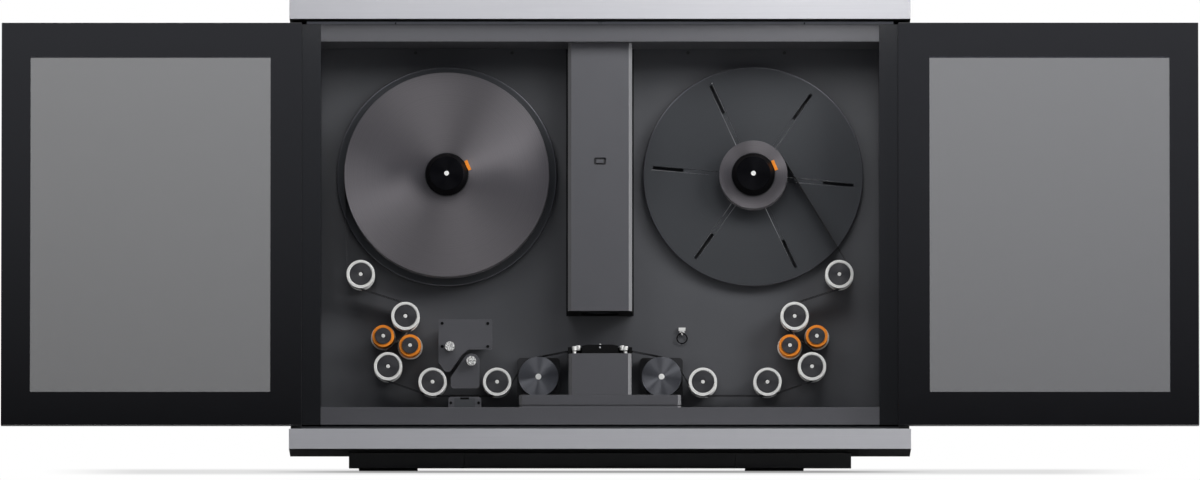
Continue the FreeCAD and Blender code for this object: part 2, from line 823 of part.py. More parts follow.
def transfer_places():
    """Centres of the two transfer rollers on the right, one on each side of the film that runs from
    the second guide roller to the third."""
    above, below = film_wheels()[2:4]
    (x0, z0), (x1, z1) = tangent(above, below)
    length = math.hypot(x1 - x0, z1 - z0)
    ux, uz = (x1 - x0) / length, (z1 - z0) / length
    places = []
    for along, gap in transfer_spots:
        away = gap + math.copysign(transfer_radius, gap)
        places.append((-(x0 + along * ux + away * uz), z0 + along * uz - away * ux))
    return places


def on_wheel(wheel, point, degrees):
    """The point moved round its wheel, counter-clockwise for positive degrees."""
    x, z, radius, side = wheel
    angle = math.atan2(point[1] - z, point[0] - x) + math.radians(degrees)
    return (x + radius * math.cos(angle), z + radius * math.sin(angle))


def film_line(shift):
    """Edges of one face of the film, shifted to the left of the running film by a signed amount."""
    wheels = [(x, z, r - s * shift, s) for x, z, r, s in film_wheels()]
    runs = [tangent(a, b) for a, b in zip(wheels, wheels[1:])]
    first, last = wheels[0], wheels[-1]
    start = on_wheel(first, runs[0][0], -roll_wrap_angle)
    end = on_wheel(last, runs[-1][1], roll_wrap_angle)
    edges = []
    arrive = start
    for wheel, run in zip(wheels, runs + [(end, None)]):
        leave = run[0]
        x, z, radius, side = wheel
        a0 = math.atan2(arrive[1] - z, arrive[0] - x)
        a1 = math.atan2(leave[1] - z, leave[0] - x)
        sweep = (a1 - a0) * side % (2 * math.pi)
        mid = a0 + side * sweep / 2
        edges.append(Part.Arc(Vector(arrive[0], 0, arrive[1]),
                              Vector(x + radius * math.cos(mid), 0, z + radius * math.sin(mid)),
                              Vector(leave[0], 0, leave[1])).toShape())
        if run[1]:
            edges.append(Part.LineSegment(Vector(leave[0], 0, leave[1]),
                                          Vector(run[1][0], 0, run[1][1])).toShape())
            arrive = run[1]
    return edges, Vector(start[0], 0, start[1]), Vector(end[0], 0, end[1])


def make_film():
    """The strip threaded from one roll to the other, just clear of every roller."""
    left, left_start, left_end = film_line(film_thickness / 2)
    right, right_start, right_end = film_line(-film_thickness / 2)
    ends = [Part.LineSegment(left_start, right_start).toShape(),
            Part.LineSegment(left_end, right_end).toShape()]
    outline = Part.Wire(Part.__sortEdges__(left + right + ends))
    face = Part.Face(outline)
    face.translate(Vector(0, front_y + film_front, 0))
    save("film_strip", face.extrude(BACK * (film_width - film_edge_gap)))


def make_column():
    """Camera column: a folded cover with bevelled front edges, open at the back."""
    z0 = ceiling_z - column_height
    front = deck_setback - column_face
    half = column_width / 2
    outline = [(-half, deck_setback), (-half, front + edge_chamfer), (-half + edge_chamfer, front),
               (half - edge_chamfer, front), (half, front + edge_chamfer), (half, deck_setback)]
    slope = column_wall * math.tan(math.radians(22.5))
    inner = [(-half + column_wall, deck_setback), (-half + column_wall, front + edge_chamfer + slope),
             (-half + edge_chamfer + slope, front + column_wall),
             (half - edge_chamfer - slope, front + column_wall),
             (half - column_wall, front + edge_chamfer + slope), (half - column_wall, deck_setback)]
    walls = upright(outline, z0, ceiling_z)
    hollow = upright(inner, z0 + column_wall, ceiling_z)
    lens_d = deck_setback - camera_body_depth / 2
    lens_hole = post(0, lens_d, lens_hole_radius, z0, z0 + column_wall)
    button_z = z0 + button_rise
    hole = rounded_box(-button_hole_width / 2, button_hole_width / 2,
                       button_z - button_hole_height / 2, button_z + button_hole_height / 2,
                       button_hole_corner, front, front + column_wall)
    save("camera_column", cut(walls, hollow, lens_hole, hole))

    back = front + column_wall + button_flange_gap
    stem = rounded_box(-button_width / 2, button_width / 2, button_z - button_height / 2,
                       button_z + button_height / 2, button_corner, front + button_sink, back)
    margin = button_flange_margin
    flange = rounded_box(-button_hole_width / 2 - margin, button_hole_width / 2 + margin,
                         button_z - button_hole_height / 2 - margin,
                         button_z + button_hole_height / 2 + margin,
                         button_hole_corner, back, back + button_flange)
    save("column_button", fuse(stem, flange))

    top = ceiling_z - camera_drop
    body = block(-camera_width / 2, camera_width / 2, deck_setback - camera_body_depth, deck_setback,
                 top - camera_height, top)
    barrel_low = top - camera_height - lens_barrel_length
    barrel = post(0, lens_d, lens_radius, barrel_low, top - camera_height)
    nose = post(0, lens_d, lens_nose_radius, barrel_low - lens_nose_length, barrel_low)
    switch = block(-switch_width / 2, switch_width / 2, back + button_flange + switch_gap, lens_d,
                   button_z - switch_height / 2, button_z + switch_height / 2)
    save("camera_module", fuse(body, barrel, nose, switch))


def upright(points, z0, z1):
    """Outline in the X-depth plane, pushed up from z0 to z1."""
    corners = [Vector(x, front_y + d, z0) for x, d in points]
    edges = [Part.LineSegment(a, b).toShape() for a, b in zip(corners, corners[1:] + corners[:1])]
    return Part.Face(Part.Wire(edges)).extrude(UP * (z1 - z0))


def make_light():
    """Light-source housing on its stepped base, with the lamp board inside."""
    front = deck_setback - column_face
    half = light_width / 2
    outline = [(-half, deck_setback), (-half, front + edge_chamfer), (-half + edge_chamfer, front),
               (half - edge_chamfer, front), (half, front + edge_chamfer), (half, deck_setback)]
    slope = light_wall * math.tan(math.radians(22.5))
    inner = [(-half + light_wall, deck_setback), (-half + light_wall, front + edge_chamfer + slope),
             (-half + edge_chamfer + slope, front + light_wall),
             (half - edge_chamfer - slope, front + light_wall),
             (half - light_wall, front + edge_chamfer + slope), (half - light_wall, deck_setback)]
    lens_d = deck_setback - camera_body_depth / 2
    window = post(0, lens_d, light_window_radius, gate_low - light_wall, gate_low)
    save("light_housing", cut(upright(outline, light_low, gate_low),
                              upright(inner, light_low, gate_low - light_wall), window))

    half = light_base_width / 2
    inset = light_groove_inset
    lower_top = floor_z + light_base_lower
    upper_low = lower_top + light_base_groove
    save("light_base", fuse(
        block(-half, half, front, deck_setback, floor_z, lower_top),
        block(-half + inset, half - inset, front + inset, deck_setback, lower_top, upper_low),
        block(-half, half, front, deck_setback, upper_low, light_low)))

    fins = []
    pitch = (led_width - led_fin_thickness) / (led_fin_count - 1)
    for index in range(led_fin_count):
        x = -led_width / 2 + index * pitch
        fins.append(block(x, x + led_fin_thickness, lens_d - led_depth / 2, lens_d + led_depth / 2,
                          light_low, light_low + led_fin_height))
    board_z = light_low + led_fin_height
    board = block(-led_width / 2, led_width / 2, lens_d - led_depth / 2, lens_d + led_depth / 2,
                  board_z, board_z + led_plate)
    lamp = post(0, lens_d, led_block_radius, board_z + led_plate, board_z + led_plate + led_block_height)
    save("led_board", fuse(board, lamp, *fins))


def make_gate():
    """Film gate: two cheeks and a curved skid between them, with the lit aperture. Each end of the
    front cheek has a pocket for two bright edge pins."""
    half = gate_width / 2
    right_side = [(half, gate_end_height), (gate_step_half, gate_step_rise),
                  (gate_crest_half, gate_crest_rise)]
    cheek = [(-half, gate_low), (half, gate_low)]
    cheek += [(x, gate_low + rise) for x, rise in right_side]
    cheek += [(-x, gate_low + rise) for x, rise in right_side[::-1]]
    front_cheek = plate(polygon(cheek), gate_front, film_front - skid_side_gap)
    rear_cheek = plate(polygon(cheek), film_back + skid_side_gap, deck_setback)
    floor = block(-half, half, gate_front, deck_setback, gate_low, gate_low + gate_floor)
    top = gate_low + gate_crest_rise
    strip = block(-half, half, film_front - skid_side_gap, film_back + skid_side_gap, gate_low, top)
    skid = strip.common(rod(0, skid_centre_z, skid_radius, film_front - skid_side_gap,
                            film_back + skid_side_gap))
    lens_d = deck_setback - camera_body_depth / 2
    aperture = block(-aperture_width / 2, aperture_width / 2, lens_d - aperture_depth / 2,
                     lens_d + aperture_depth / 2, gate_low, top)
    pockets = [block(side * gate_step_half, side * pin_pocket_outer, gate_front,
                     gate_front + pin_pocket_depth, gate_low, top) for side in (-1, 1)]
    save("film_gate", cut(fuse(floor, front_cheek, rear_cheek, skid), aperture, *pockets))


def make_gate_pins():
    """Headed pins that stand in the gate's pockets, and the small screw and tip in its middle."""
    pieces = []
    for side in (-1, 1):
        for x, back, neck, top in pin_places:
            d = gate_front + back
            pieces.append(fuse(post(side * x, d, pin_radius, gate_low, gate_low + neck),
                               post(side * x, d, pin_head_radius, gate_low + neck, gate_low + top)))
    pieces.append(rod(0, gate_low + gate_dot_rise, gate_dot_radius,
                      gate_front - screw_head_height, gate_front))
    crest = gate_low + gate_crest_rise
    pieces.append(post(0, gate_front + 2 * gate_tip_radius, gate_tip_radius, crest,
                       crest + gate_tip_height))
    return pieces


def make_reader():
    """Reader head: fixed plate on a block, sliding arm below it, and a thumbscrew on each."""
    front = deck_setback - reader_face
    behind = front + reader_plate_thickness
    shelf_z = floor_z + reader_shelf
    tip = [(-x, floor_z + rise) for x, rise in reader_tip]
    outline = [(-reader_left, floor_z + reader_top), (-reader_right, floor_z + reader_top),
               (-reader_right, shelf_z), (-reader_throat, shelf_z)] + tip
    corners = [(x, z, reader_corner) for x, z in outline[:3]]
    corners += [(x, z, reader_tip_corner) for x, z in tip[1:3]]
    face = rounded(polygon(outline), front, behind, corners)
    inset = reader_block_inset
    body = block(-reader_left + inset, -reader_right - inset, behind, deck_setback, shelf_z + inset,
                 floor_z + reader_top - inset)
    x, rise = upper_knob
    boss = rod(-x, floor_z + rise, arm_boss_radius, behind, deck_setback)
    bore = rod(-x, floor_z + rise, knob_shaft_radius + running_gap, front, front + knob_shaft_length)
    save("reader_plate", cut(fuse(face, body, boss), bore))

    x, z = -lower_knob[0], floor_z + lower_knob[1]
    heel = (-arm_left, floor_z + arm_heel)
    right = x + arm_head_radius
    low = floor_z + arm_bottom
    reach = math.hypot(x - heel[0], z - heel[1])
    slope = math.atan2(z - heel[1], x - heel[0]) + math.asin(arm_head_radius / reach)
    over = (slope + math.pi / 2) / 2
    touch = Vector(x - arm_head_radius * math.sin(slope), 0, z + arm_head_radius * math.cos(slope))
    crown = Vector(x + arm_head_radius * math.cos(over), 0, z + arm_head_radius * math.sin(over))
    corner = [Vector(right, 0, z), Vector(right, 0, low), Vector(-arm_left, 0, low),
              Vector(heel[0], 0, heel[1]), touch]
    edges = [Part.Arc(touch, crown, corner[0]).toShape()]
    edges += [Part.LineSegment(a, b).toShape() for a, b in zip(corner, corner[1:])]
    face = rounded(edges, front, behind, [(v.x, v.z, arm_corner) for v in corner[1:4]])
    boss = rod(x, z, arm_boss_radius, behind, deck_setback - arm_back_gap)
    bore = rod(x, z, knob_shaft_radius + running_gap, front, front + knob_shaft_length)
    save("reader_arm", cut(fuse(face, boss), bore))

    save("reader_knob_upper", make_knob(upper_knob, front))
    save("reader_knob_lower", make_knob(lower_knob, front))


def make_knob(place, seat):
    """Thumbscrew: slotted head, neck and a shank that turns in its bore."""
    x, z = -place[0], floor_z + place[1]
    head_back = seat - knob_neck
    head_front = head_back - knob_height
    head = rod(x, z, knob_radius, head_front, head_back)
    neck = rod(x, z, knob_shaft_radius, head_back, seat + knob_shaft_length - collar_gap)
    slot = block(x - knob_radius, x + knob_radius, head_front, head_front + knob_slot_depth,
                 z - knob_slot_width / 2, z + knob_slot_width / 2)
    return cut(fuse(head, neck), slot)


def make_panel():
    """Small connector panel on the deck, with a shallow recess."""
    front = deck_setback - panel_face
    body = rounded_box(-panel_left, -panel_right, floor_z, floor_z + panel_top, panel_corner,
                       front, deck_setback)
    recess = block(-panel_recess_left, -panel_recess_right, front, front + panel_recess_depth,
                   floor_z + panel_recess_bottom, floor_z + panel_recess_top)
    save("connector_panel", cut(body, recess))


def make_ring():
    """Ring that hangs in the eye of its peg and swings forward."""
    z = floor_z + ring_rise
    centre = Vector(ring_x, front_y + deck_setback - ring_standoff, z)
    save("hanging_ring", Part.makeTorus(ring_radius, ring_wire_radius, centre, BACK))


def make_fasteners():
    """Bright screws, gate pins and the ring's peg, all fixed to the cabinet."""
    pieces = []
    for side in (-1, 1):
        guides = [(x, floor_z + rise) for x, rise in guide_line]
        for places, face in ((guides, roller_face), (transfer_places(), transfer_face)):
            for x, z in places:
                front = deck_setback - face + cap_recess
                pieces.append(rod(side * x, z, screw_head_radius, front - screw_head_height, front))
        for x in deck_screw_places:
            pieces.append(rod(side * x, ceiling_z - deck_screw_drop, deck_screw_radius,
                              deck_setback - deck_screw_height, deck_setback))
    for x, rise in reader_screws:
        front = deck_setback - reader_face
        pieces.append(rod(-x, floor_z + rise, reader_screw_radius, front - screw_head_height, front))
    for x, rise in panel_screws:
        front = deck_setback - panel_face
        pieces.append(rod(-x, floor_z + rise, panel_screw_radius, front - screw_head_height, front))
    save("front_fasteners", *pieces, *make_gate_pins(), make_peg())


def make_peg():
    """Flat peg on the deck with an eye below it, bored across for the ring."""
    eye_z = floor_z + ring_rise + ring_radius
    eye_d = deck_setback - ring_standoff
    peg_z = eye_z + peg_lift
    bar = block(ring_x - peg_width / 2, ring_x + peg_width / 2, deck_setback - peg_depth, deck_setback,
                peg_z, peg_z + peg_height)
    eye_start = Vector(ring_x - eye_width / 2, front_y + eye_d, eye_z)
    eye = Part.makeCylinder(eye_radius, eye_width, eye_start, RIGHT)
    web = block(ring_x - eye_width / 2, ring_x + eye_width / 2, eye_d - eye_radius / 2,
                eye_d + eye_radius / 2, eye_z, peg_z)
    hole = Part.makeCylinder(eye_hole_radius, eye_width, eye_start, RIGHT)
    return cut(fuse(bar, eye, web), hole)


def make_electronics():
    """Main board on standoffs and the power supply, both on the back of the deck."""
    z0 = floor_z + board_rise
    front = deck_back + board_standoff
    half = board_width / 2
    board = block(-half, half, front, front + board_thickness, z0, z0 + board_height)
    feet = [rod(x, z, standoff_radius, deck_back, front)
            for x in (-half + standoff_margin, half - standoff_margin)
            for z in (z0 + standoff_margin, z0 + board_height - standoff_margin)]
    chips = [block(x - chip_size / 2, x + chip_size / 2, front + board_thickness,
                   front + board_thickness + chip_height, z0 + board_height / 2 - chip_size / 2,
                   z0 + board_height / 2 + chip_size / 2)
             for x in (-board_width / 4, board_width / 4)]
    save("main_board", fuse(board, *feet, *chips))
    z0 = floor_z + supply_rise
    save("power_supply", block(supply_x - supply_width / 2, supply_x + supply_width / 2, deck_back,
                               deck_back + supply_depth, z0, z0 + supply_height))


os.makedirs("parts", exist_ok=True)
make_bars()
make_side_walls()
make_fascias()
make_deck()
make_rear_cover()
make_stand()
make_rails()
make_doors()
make_reels()
make_rollers()
make_capstans()
make_motors()
make_film()
make_column()
make_light()
make_gate()
make_reader()
make_panel()
make_ring()
make_fasteners()
make_electronics()
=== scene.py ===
import json
import math
from itertools import product

import bmesh
import bpy
from bpy.props import FloatProperty, FloatVectorProperty, IntProperty, PointerProperty
from bpy.types import Operator, Panel, PropertyGroup
from mathutils import Matrix, Vector

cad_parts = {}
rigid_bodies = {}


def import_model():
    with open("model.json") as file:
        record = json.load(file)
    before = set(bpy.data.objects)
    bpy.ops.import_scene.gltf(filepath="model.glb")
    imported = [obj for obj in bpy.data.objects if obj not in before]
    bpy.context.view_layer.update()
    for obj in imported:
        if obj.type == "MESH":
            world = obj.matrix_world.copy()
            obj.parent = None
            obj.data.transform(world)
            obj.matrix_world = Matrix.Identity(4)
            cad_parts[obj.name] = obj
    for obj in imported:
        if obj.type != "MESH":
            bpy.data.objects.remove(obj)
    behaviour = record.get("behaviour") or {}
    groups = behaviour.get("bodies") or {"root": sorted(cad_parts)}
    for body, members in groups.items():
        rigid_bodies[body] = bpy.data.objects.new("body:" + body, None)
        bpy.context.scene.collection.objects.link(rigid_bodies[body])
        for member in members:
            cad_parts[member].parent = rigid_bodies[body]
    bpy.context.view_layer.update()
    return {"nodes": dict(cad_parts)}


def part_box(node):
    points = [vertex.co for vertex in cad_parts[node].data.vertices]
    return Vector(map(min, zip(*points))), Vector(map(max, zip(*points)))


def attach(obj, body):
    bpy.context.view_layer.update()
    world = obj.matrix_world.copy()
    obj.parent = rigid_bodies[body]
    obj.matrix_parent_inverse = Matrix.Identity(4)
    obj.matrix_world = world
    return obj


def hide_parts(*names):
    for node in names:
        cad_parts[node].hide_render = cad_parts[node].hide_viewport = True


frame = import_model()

bl_info = {
    "name": "Film scanner",
    "version": (1, 0, 0),
    "blender": (4, 5, 0),
    "location": "3D View > Sidebar > Film scanner",
    "description": "A film scanner with sliding glass doors, reels, rollers and a lit gate",
    "category": "Object",
}

MM = 0.001
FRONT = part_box("top_bar")[0].y
SIDES = {"left": -1, "right": 1}
NEAR = 0.1 * MM
WHITE = (1, 1, 1, 1)

# Slot and finish of what is most often seen
GREY = ("grey_paint", "grey_powder_coat")
BLACK = ("black_paint", "black_powder_coat")
DARK = ("black_paint", "black_oxide_steel")
BRIGHT = ("bright_steel", "blasted_aluminium")

# Sizes in mm, angles in degrees. Depths run back from the front of the bars, heights up from the
# ground, and widths out from the middle.
PADS = ((-412.0, -311.5), (247.5, 348.0))
WINDOW_ACROSS = (563.1, 973.6)
WINDOW_UP = (128.5, 704.0)
# The rails' section as depth and height, for the bridge between their halves
RAIL_SECTION = ((33, 735.3), (44.5, 735.3), (44.5, 768.5), (43, 768.5), (43, 761.3), (33, 761.3),
                (33, 758.1), (34.5, 758.1), (34.5, 759.8), (43, 759.8), (43, 736.8), (34.5, 736.8),
                (34.5, 738.5), (33, 738.5))
RAIL_STOP = 349.6
# The platters' slots and the grooves that lead to them, along and across their own line
SLOT_ANGLE = 54.9
SLOT_REACH = (119, 174)
SLOT_HALF = 2.2
GROOVE_HALF = 3.3
GROOVE_START = 50
GROOVE_EDGE = 1.15
RIM_EDGE = 1.8
# Each long side of a lock tab: where it lies, the line it is drawn to, and the share that stays
TAB_ANGLE = 23.5
TAB_SIDES = ((36.5, 38.0, 36.7, 0.0), (41.2, 42.6, 42.5, 0.4))
CORE_BORE, CORE_RADIUS, FILM_FRONT, FILM_BACK = 12.7, 37.5, 98, 133
PANEL_TOP = 128.1
PANEL_SCREWS = ((-255.2, 117.8), (-207.5, 117.8))
READER_SCREWS = ((-270.2, 254.3), (-192.0, 254.1), (-270.2, 214.5), (-192.0, 214.5))
DECK_SCREWS = tuple((x, 725.9) for x in (-316.5, -151.0, 151.0, 316.5))
PEG_TONGUE = ((-2.2, 4.8), (-5.2, 2.6), (-4.4, 1.4), (-1.5, 1.3), (-1.4, -2.8), (1.4, -2.8),
              (1.5, 1.3), (4.4, 1.4), (5.2, 2.6), (2.2, 4.8))


def rod(size, front, back):
    """Outline of a plain round piece as radius and depth in mm, from the front to the back."""
    return ((0, front), (size, front), (size, back), (0, back))


def tube(inner, outer, front, back):
    """Outline of a ring or tube."""
    return ((inner, front), (outer, front), (outer, back), (inner, back), (inner, front))


STUD = ((4, 137.5), (8, 137.5), (8, 151), (0, 151))
GUIDE = ((4.05, 109), (19, 109), (19, 94.6), (20, 93), (24.25, 93), (24.25, 96), (22, 96),
         (22, 134), (24.25, 134), (24.25, 137), (19, 137), (19, 121), (4.05, 121), (4.05, 109))
GUIDE_CAP = ((0, 94.6), (4.4, 94.6), (5.6, 93.6), (18.8, 93.6), (18.8, 96.6), (4, 96.6), *STUD)
GUIDE_SCREW = rod(3.2, 93, 94.6)
SLEEVE = tube(14.1, 18.8, 99, 134)
SLEEVE_HUB = ((4.05, 110.25), (14, 110.25), (14, 134), (21.35, 134), (21.35, 137), (14, 137),
              (14, 122.25), (4.05, 122.25), (4.05, 110.25))
SLEEVE_CAP = ((0, 97.1), (4.4, 97.1), (5.6, 96.1), (13.8, 96.1), (13.8, 101), (4, 101), *STUD)
SLEEVE_SCREW_BACK = 2.5
DRUM = ((5, 94.4), (34.1, 94), (34.1, 137), (30.1, 137), (30.1, 102), (5, 102), (5, 94.4))
SHAFT = rod(5, 94, 193)
THUMBSCREW = ((0, 75.4), (8.2, 75.4), (8.2, 87.4), (3, 87.4), (3, 120.5), (0, 120.5))
PEG_EYE_SHADE = rod(1.1, 143.6, 144.2)


def depth(mm):
    """Place along Y of a depth."""
    return FRONT + mm * MM


def middle(node):
    """Centre of a CAD node's box."""
    low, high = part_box(node)
    return (low + high) / 2


def away_from(centre, spot):
    """Distance from a line along the depth."""
    return math.hypot(spot.x - centre.x, spot.z - centre.z)


def linear(code):
    """Linear colour of an sRGB hex value."""
    parts = [int(code[i:i + 2], 16) / 255 for i in (1, 3, 5)]
    return tuple(c / 12.92 if c <= 0.04045 else ((c + 0.055) / 1.055) ** 2.4 for c in parts)


# ------------ modelling


def pick(obj):
    """Selects this object alone and makes it the active one."""
    if bpy.context.object and bpy.context.object.mode != "OBJECT":
        bpy.ops.object.mode_set(mode="OBJECT")
    bpy.ops.object.select_all(action="DESELECT")
    obj.select_set(True)
    bpy.context.view_layer.objects.active = obj


def edit(obj):
    """Opens the object in edit mode with all of it selected."""
    pick(obj)
    bpy.ops.object.mode_set(mode="EDIT")
    bpy.ops.mesh.select_mode(type="VERT")
    bpy.ops.mesh.select_all(action="SELECT")


def done():
    """Back to object mode."""
    bpy.ops.object.mode_set(mode="OBJECT")


def choose(obj, kind, test):
    """In edit mode, selects the corners, edges or faces that pass a test on their place. An edge
    passes when both its ends do."""
    bpy.ops.mesh.select_mode(type=kind)
    bpy.ops.mesh.select_all(action="DESELECT")
    mesh = bmesh.from_edit_mesh(obj.data)
    if kind == "FACE":
        for face in mesh.faces:
            face.select_set(test(face.calc_center_median(), face.normal))
    else:
        for item in mesh.verts if kind == "VERT" else mesh.edges:
            ends = [item] if kind == "VERT" else item.verts
            item.select_set(all(test(vert.co) for vert in ends))
    bmesh.update_edit_mesh(obj.data)


def chamfer(obj, width, test, segments=1):
    """In edit mode, bevels the edges whose two ends pass the test by a width in mm."""
    choose(obj, "EDGE", test)
    bpy.ops.mesh.bevel(offset=width * MM, segments=segments, affect="EDGES")


def stretch(obj, centre, axes, about, value, test):
    """In edit mode, scales corners along turned axes, about a place in mm on the first of them. The
    test reads where a corner stands along these axes."""
    choose(obj, "VERT", lambda v: test(axes.inverted() @ (v - centre)))
    bpy.ops.transform.resize(value=value, orient_type="LOCAL", orient_matrix=axes,
                             orient_matrix_type="LOCAL",
                             center_override=centre + axes @ Vector((about * MM, 0, 0)))


def soften(obj, width):
    """Breaks every sharp edge by a width in mm, and smooths the shading of round faces alone."""
    pick(obj)
    if width:
        edge = obj.modifiers.new("edges", "BEVEL")
        edge.width = width * MM
        edge.segments = 2
        edge.limit_method = "ANGLE"
        edge.angle_limit = math.radians(30)
        bpy.ops.object.modifier_apply(modifier=edge.name)
    bpy.ops.object.shade_smooth_by_angle(angle=math.radians(38))
    flat = obj.modifiers.new("flat", "WEIGHTED_NORMAL")
    flat.keep_sharp = True
    bpy.ops.object.modifier_apply(modifier=flat.name)
    return obj


def refine(name, node, width, change=None):
    """A copy of a CAD node with its triangles joined into faces and its edges broken. A change is
    made in edit mode before that."""
    obj = bpy.data.objects.new(name, frame["nodes"][node].data.copy())
    bpy.context.scene.collection.objects.link(obj)
    obj.data.materials.clear()
    pick(obj)
    bpy.ops.mesh.customdata_custom_splitnormals_clear()
    edit(obj)
    bpy.ops.mesh.remove_doubles(threshold=1e-6)
    bpy.ops.mesh.dissolve_limited(angle_limit=math.radians(0.4))
    if change:
        change(obj)
    done()
    return soften(obj, width)


def primitive(name, kind, scale=(1, 1, 1), **settings):
    """Adds one of Blender's primitives, with its place in its mesh."""
    pick(bpy.data.objects[0])
    getattr(bpy.ops.mesh, "primitive_%s_add" % kind)(**settings)
    obj = bpy.context.object
    obj.name = obj.data.name = name
    obj.scale = scale
    bpy.ops.object.transform_apply(location=True, rotation=True, scale=True)
    return obj


def lathe(name, points, centre, axis, steps, width):
    """A round piece: an outline drawn through points, open or closed, and spun about a line."""
    obj = primitive(name, "plane", size=MM, location=points[0])
    edit(obj)
    bpy.ops.mesh.merge(type="CENTER")
    for a, b in zip(points, points[1:]):
        bpy.ops.mesh.extrude_region_move(TRANSFORM_OT_translate={"value": b - a})
    bpy.ops.mesh.select_all(action="SELECT")
    bpy.ops.mesh.spin(steps=steps, angle=2 * math.pi, center=centre, axis=axis)
    bpy.ops.mesh.select_all(action="SELECT")
    bpy.ops.mesh.remove_doubles(threshold=1e-6)
    bpy.ops.mesh.normals_make_consistent(inside=False)
    done()
    return soften(obj, width)


def turn(name, centre, outline, steps=96, width=0.3):
    """A round piece about a line along the depth, from an outline of radius and depth in mm."""
    x, z = centre[0], centre[-1]
    points = [Vector((x + r * MM, depth(d), z)) for r, d in outline]
    return lathe(name, points, (x, 0, z), (0, 1, 0), steps, width)


def upright(name, x, d, z, outline):
    """A round piece about an upright line, from an outline of radius and height in mm."""
    points = [Vector(((x + r) * MM, depth(d), (z + h) * MM)) for r, h in outline]
    return lathe(name, points, (x * MM, depth(d), 0), (0, 0, 1), 32, 0.3)


def disc(name, x, z, size, front):
    """A flat round screw head 1 mm thick, at a place in mm."""
    return turn(name, (x * MM, z * MM), rod(size, front, front + 1), 32, 0.2)


def screws(name, places, size, front, material="black_oxide_steel"):
    """A row of screw heads."""
    for index, (x, z) in enumerate(places, 1):
        place(disc("%s_%d" % (name, index), x, z, size, front), "cabinet", "bright_steel", material,
              "front_fasteners")


def slab(name, one, other, width=0.0):
    """A cuboid between two corners."""
    low, high = (Vector(map(end, one, other)) for end in (min, max))
    obj = primitive(name, "cube", high - low, size=1, location=(low + high) / 2)
    return soften(obj, width) if width else obj


def cut_out(name, points, by):
    """A flat outline, given thickness along a vector."""
    obj = primitive(name, "circle", vertices=len(points), radius=MM, fill_type="NGON")
    for vert, point in zip(obj.data.vertices, points):
        vert.co = point
    edit(obj)
    bpy.ops.mesh.extrude_region_move(TRANSFORM_OT_translate={"value": by})
    bpy.ops.mesh.select_all(action="SELECT")
    bpy.ops.mesh.normals_make_consistent(inside=False)
    done()
    return obj


def copy(obj, name, by):
    """Another one with its own mesh, moved."""
    twin = bpy.data.objects.new(name, obj.data.copy())
    bpy.context.scene.collection.objects.link(twin)
    twin.data.transform(Matrix.Translation(by))
    return twin


def centre_map(obj, centre):
    """Gives the piece a UV map in metres from a centre, which round patterns follow."""
    layer = obj.data.uv_layers.new(name="centre")
    verts = obj.data.vertices
    for loop in obj.data.loops:
        spot = verts[loop.vertex_index].co
        layer.data[loop.index].uv = (spot.x - centre[0], spot.z - centre[-1])
    obj.data.uv_layers.active = layer
    return obj


def paint_where(obj, material, test):
    """Gives the faces whose centre passes the test a second finish."""
    obj.data.materials.append(finish(material))
    for face in obj.data.polygons:
        if test(face.center):
            face.material_index = len(obj.data.materials) - 1


def paint_node(node, material):
    """Gives a CAD node that stays as it is its finish."""
    data = frame["nodes"][node].data
    data.materials.clear()
    data.materials.append(finish(material))


def place(obj, body, slot, material, *nodes):
    """Paints a finished piece, sets it on its CAD body and hides the nodes that it stands for."""
    if material:
        obj.data.materials.clear()
        obj.data.materials.append(finish(material))
    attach(obj, body)
    if nodes:
        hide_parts(*nodes)
    return obj


def refit(name, node, width, slot, material, body="cabinet", change=None):
    """A refined CAD node in its finish, in place of the node."""
    return place(refine(name, node, width, change), body, slot, material, node)


# ------------ materials


# Inputs 1 to 4 of Map Range are the range that it reads and the range that it gives. Mix takes
# plain numbers at 2 and 3, and colours at 6 and 7.


def add_node(tree, kind, inputs=(), **settings):
    """Adds a node with its settings. Each input is given a value, or a socket or node to link."""
    node = tree.nodes.new("ShaderNode" + kind)
    for key, value in settings.items():
        setattr(node, key, value)
    for key, value in dict(inputs).items():
        if isinstance(value, bpy.types.Node):
            value = value.outputs[0]
        if isinstance(value, bpy.types.NodeSocket):
            tree.links.new(value, node.inputs[key])
        else:
            node.inputs[key].default_value = value
    return node


def start(name, **sockets):
    """The tree of a new material, with some of its shader's sockets set."""
    material = bpy.data.materials.new(name)
    material.use_nodes = True
    shader = material.node_tree.nodes["Principled BSDF"]
    for key, value in sockets.items():
        shader.inputs[key.replace("_", " ")].default_value = value
    return material.node_tree


def skin(tree, colour, tone, spread, relief=None, height=0.0):
    """Gives the surface its colour, darker and lighter by a share as the tone goes from 0 to 1, and
    raises it with the relief by a height in mm."""
    shader = tree.nodes["Principled BSDF"]
    low, high = ((*(c * share for c in colour), 1) for share in (1 - spread, 1 + spread))
    mixed = add_node(tree, "Mix", {0: tone, 6: low, 7: high}, data_type="RGBA")
    tree.links.new(mixed.outputs[2], shader.inputs["Base Color"])
    if relief:
        bump = add_node(tree, "Bump", {"Height": relief, "Distance": height * MM})
        tree.links.new(bump.outputs[0], shader.inputs["Normal"])


def grain(tree, size, detail=2.0, scale=(1, 1, 1)):
    """Noise with grains of a size in mm, in the piece's own space."""
    spot = add_node(tree, "TexCoord").outputs["Object"]
    scaled = add_node(tree, "Mapping", {0: spot, "Scale": scale})
    return add_node(tree, "TexNoise", {"Vector": scaled, "Scale": 1 / (size * MM),
                                       "Detail": detail})


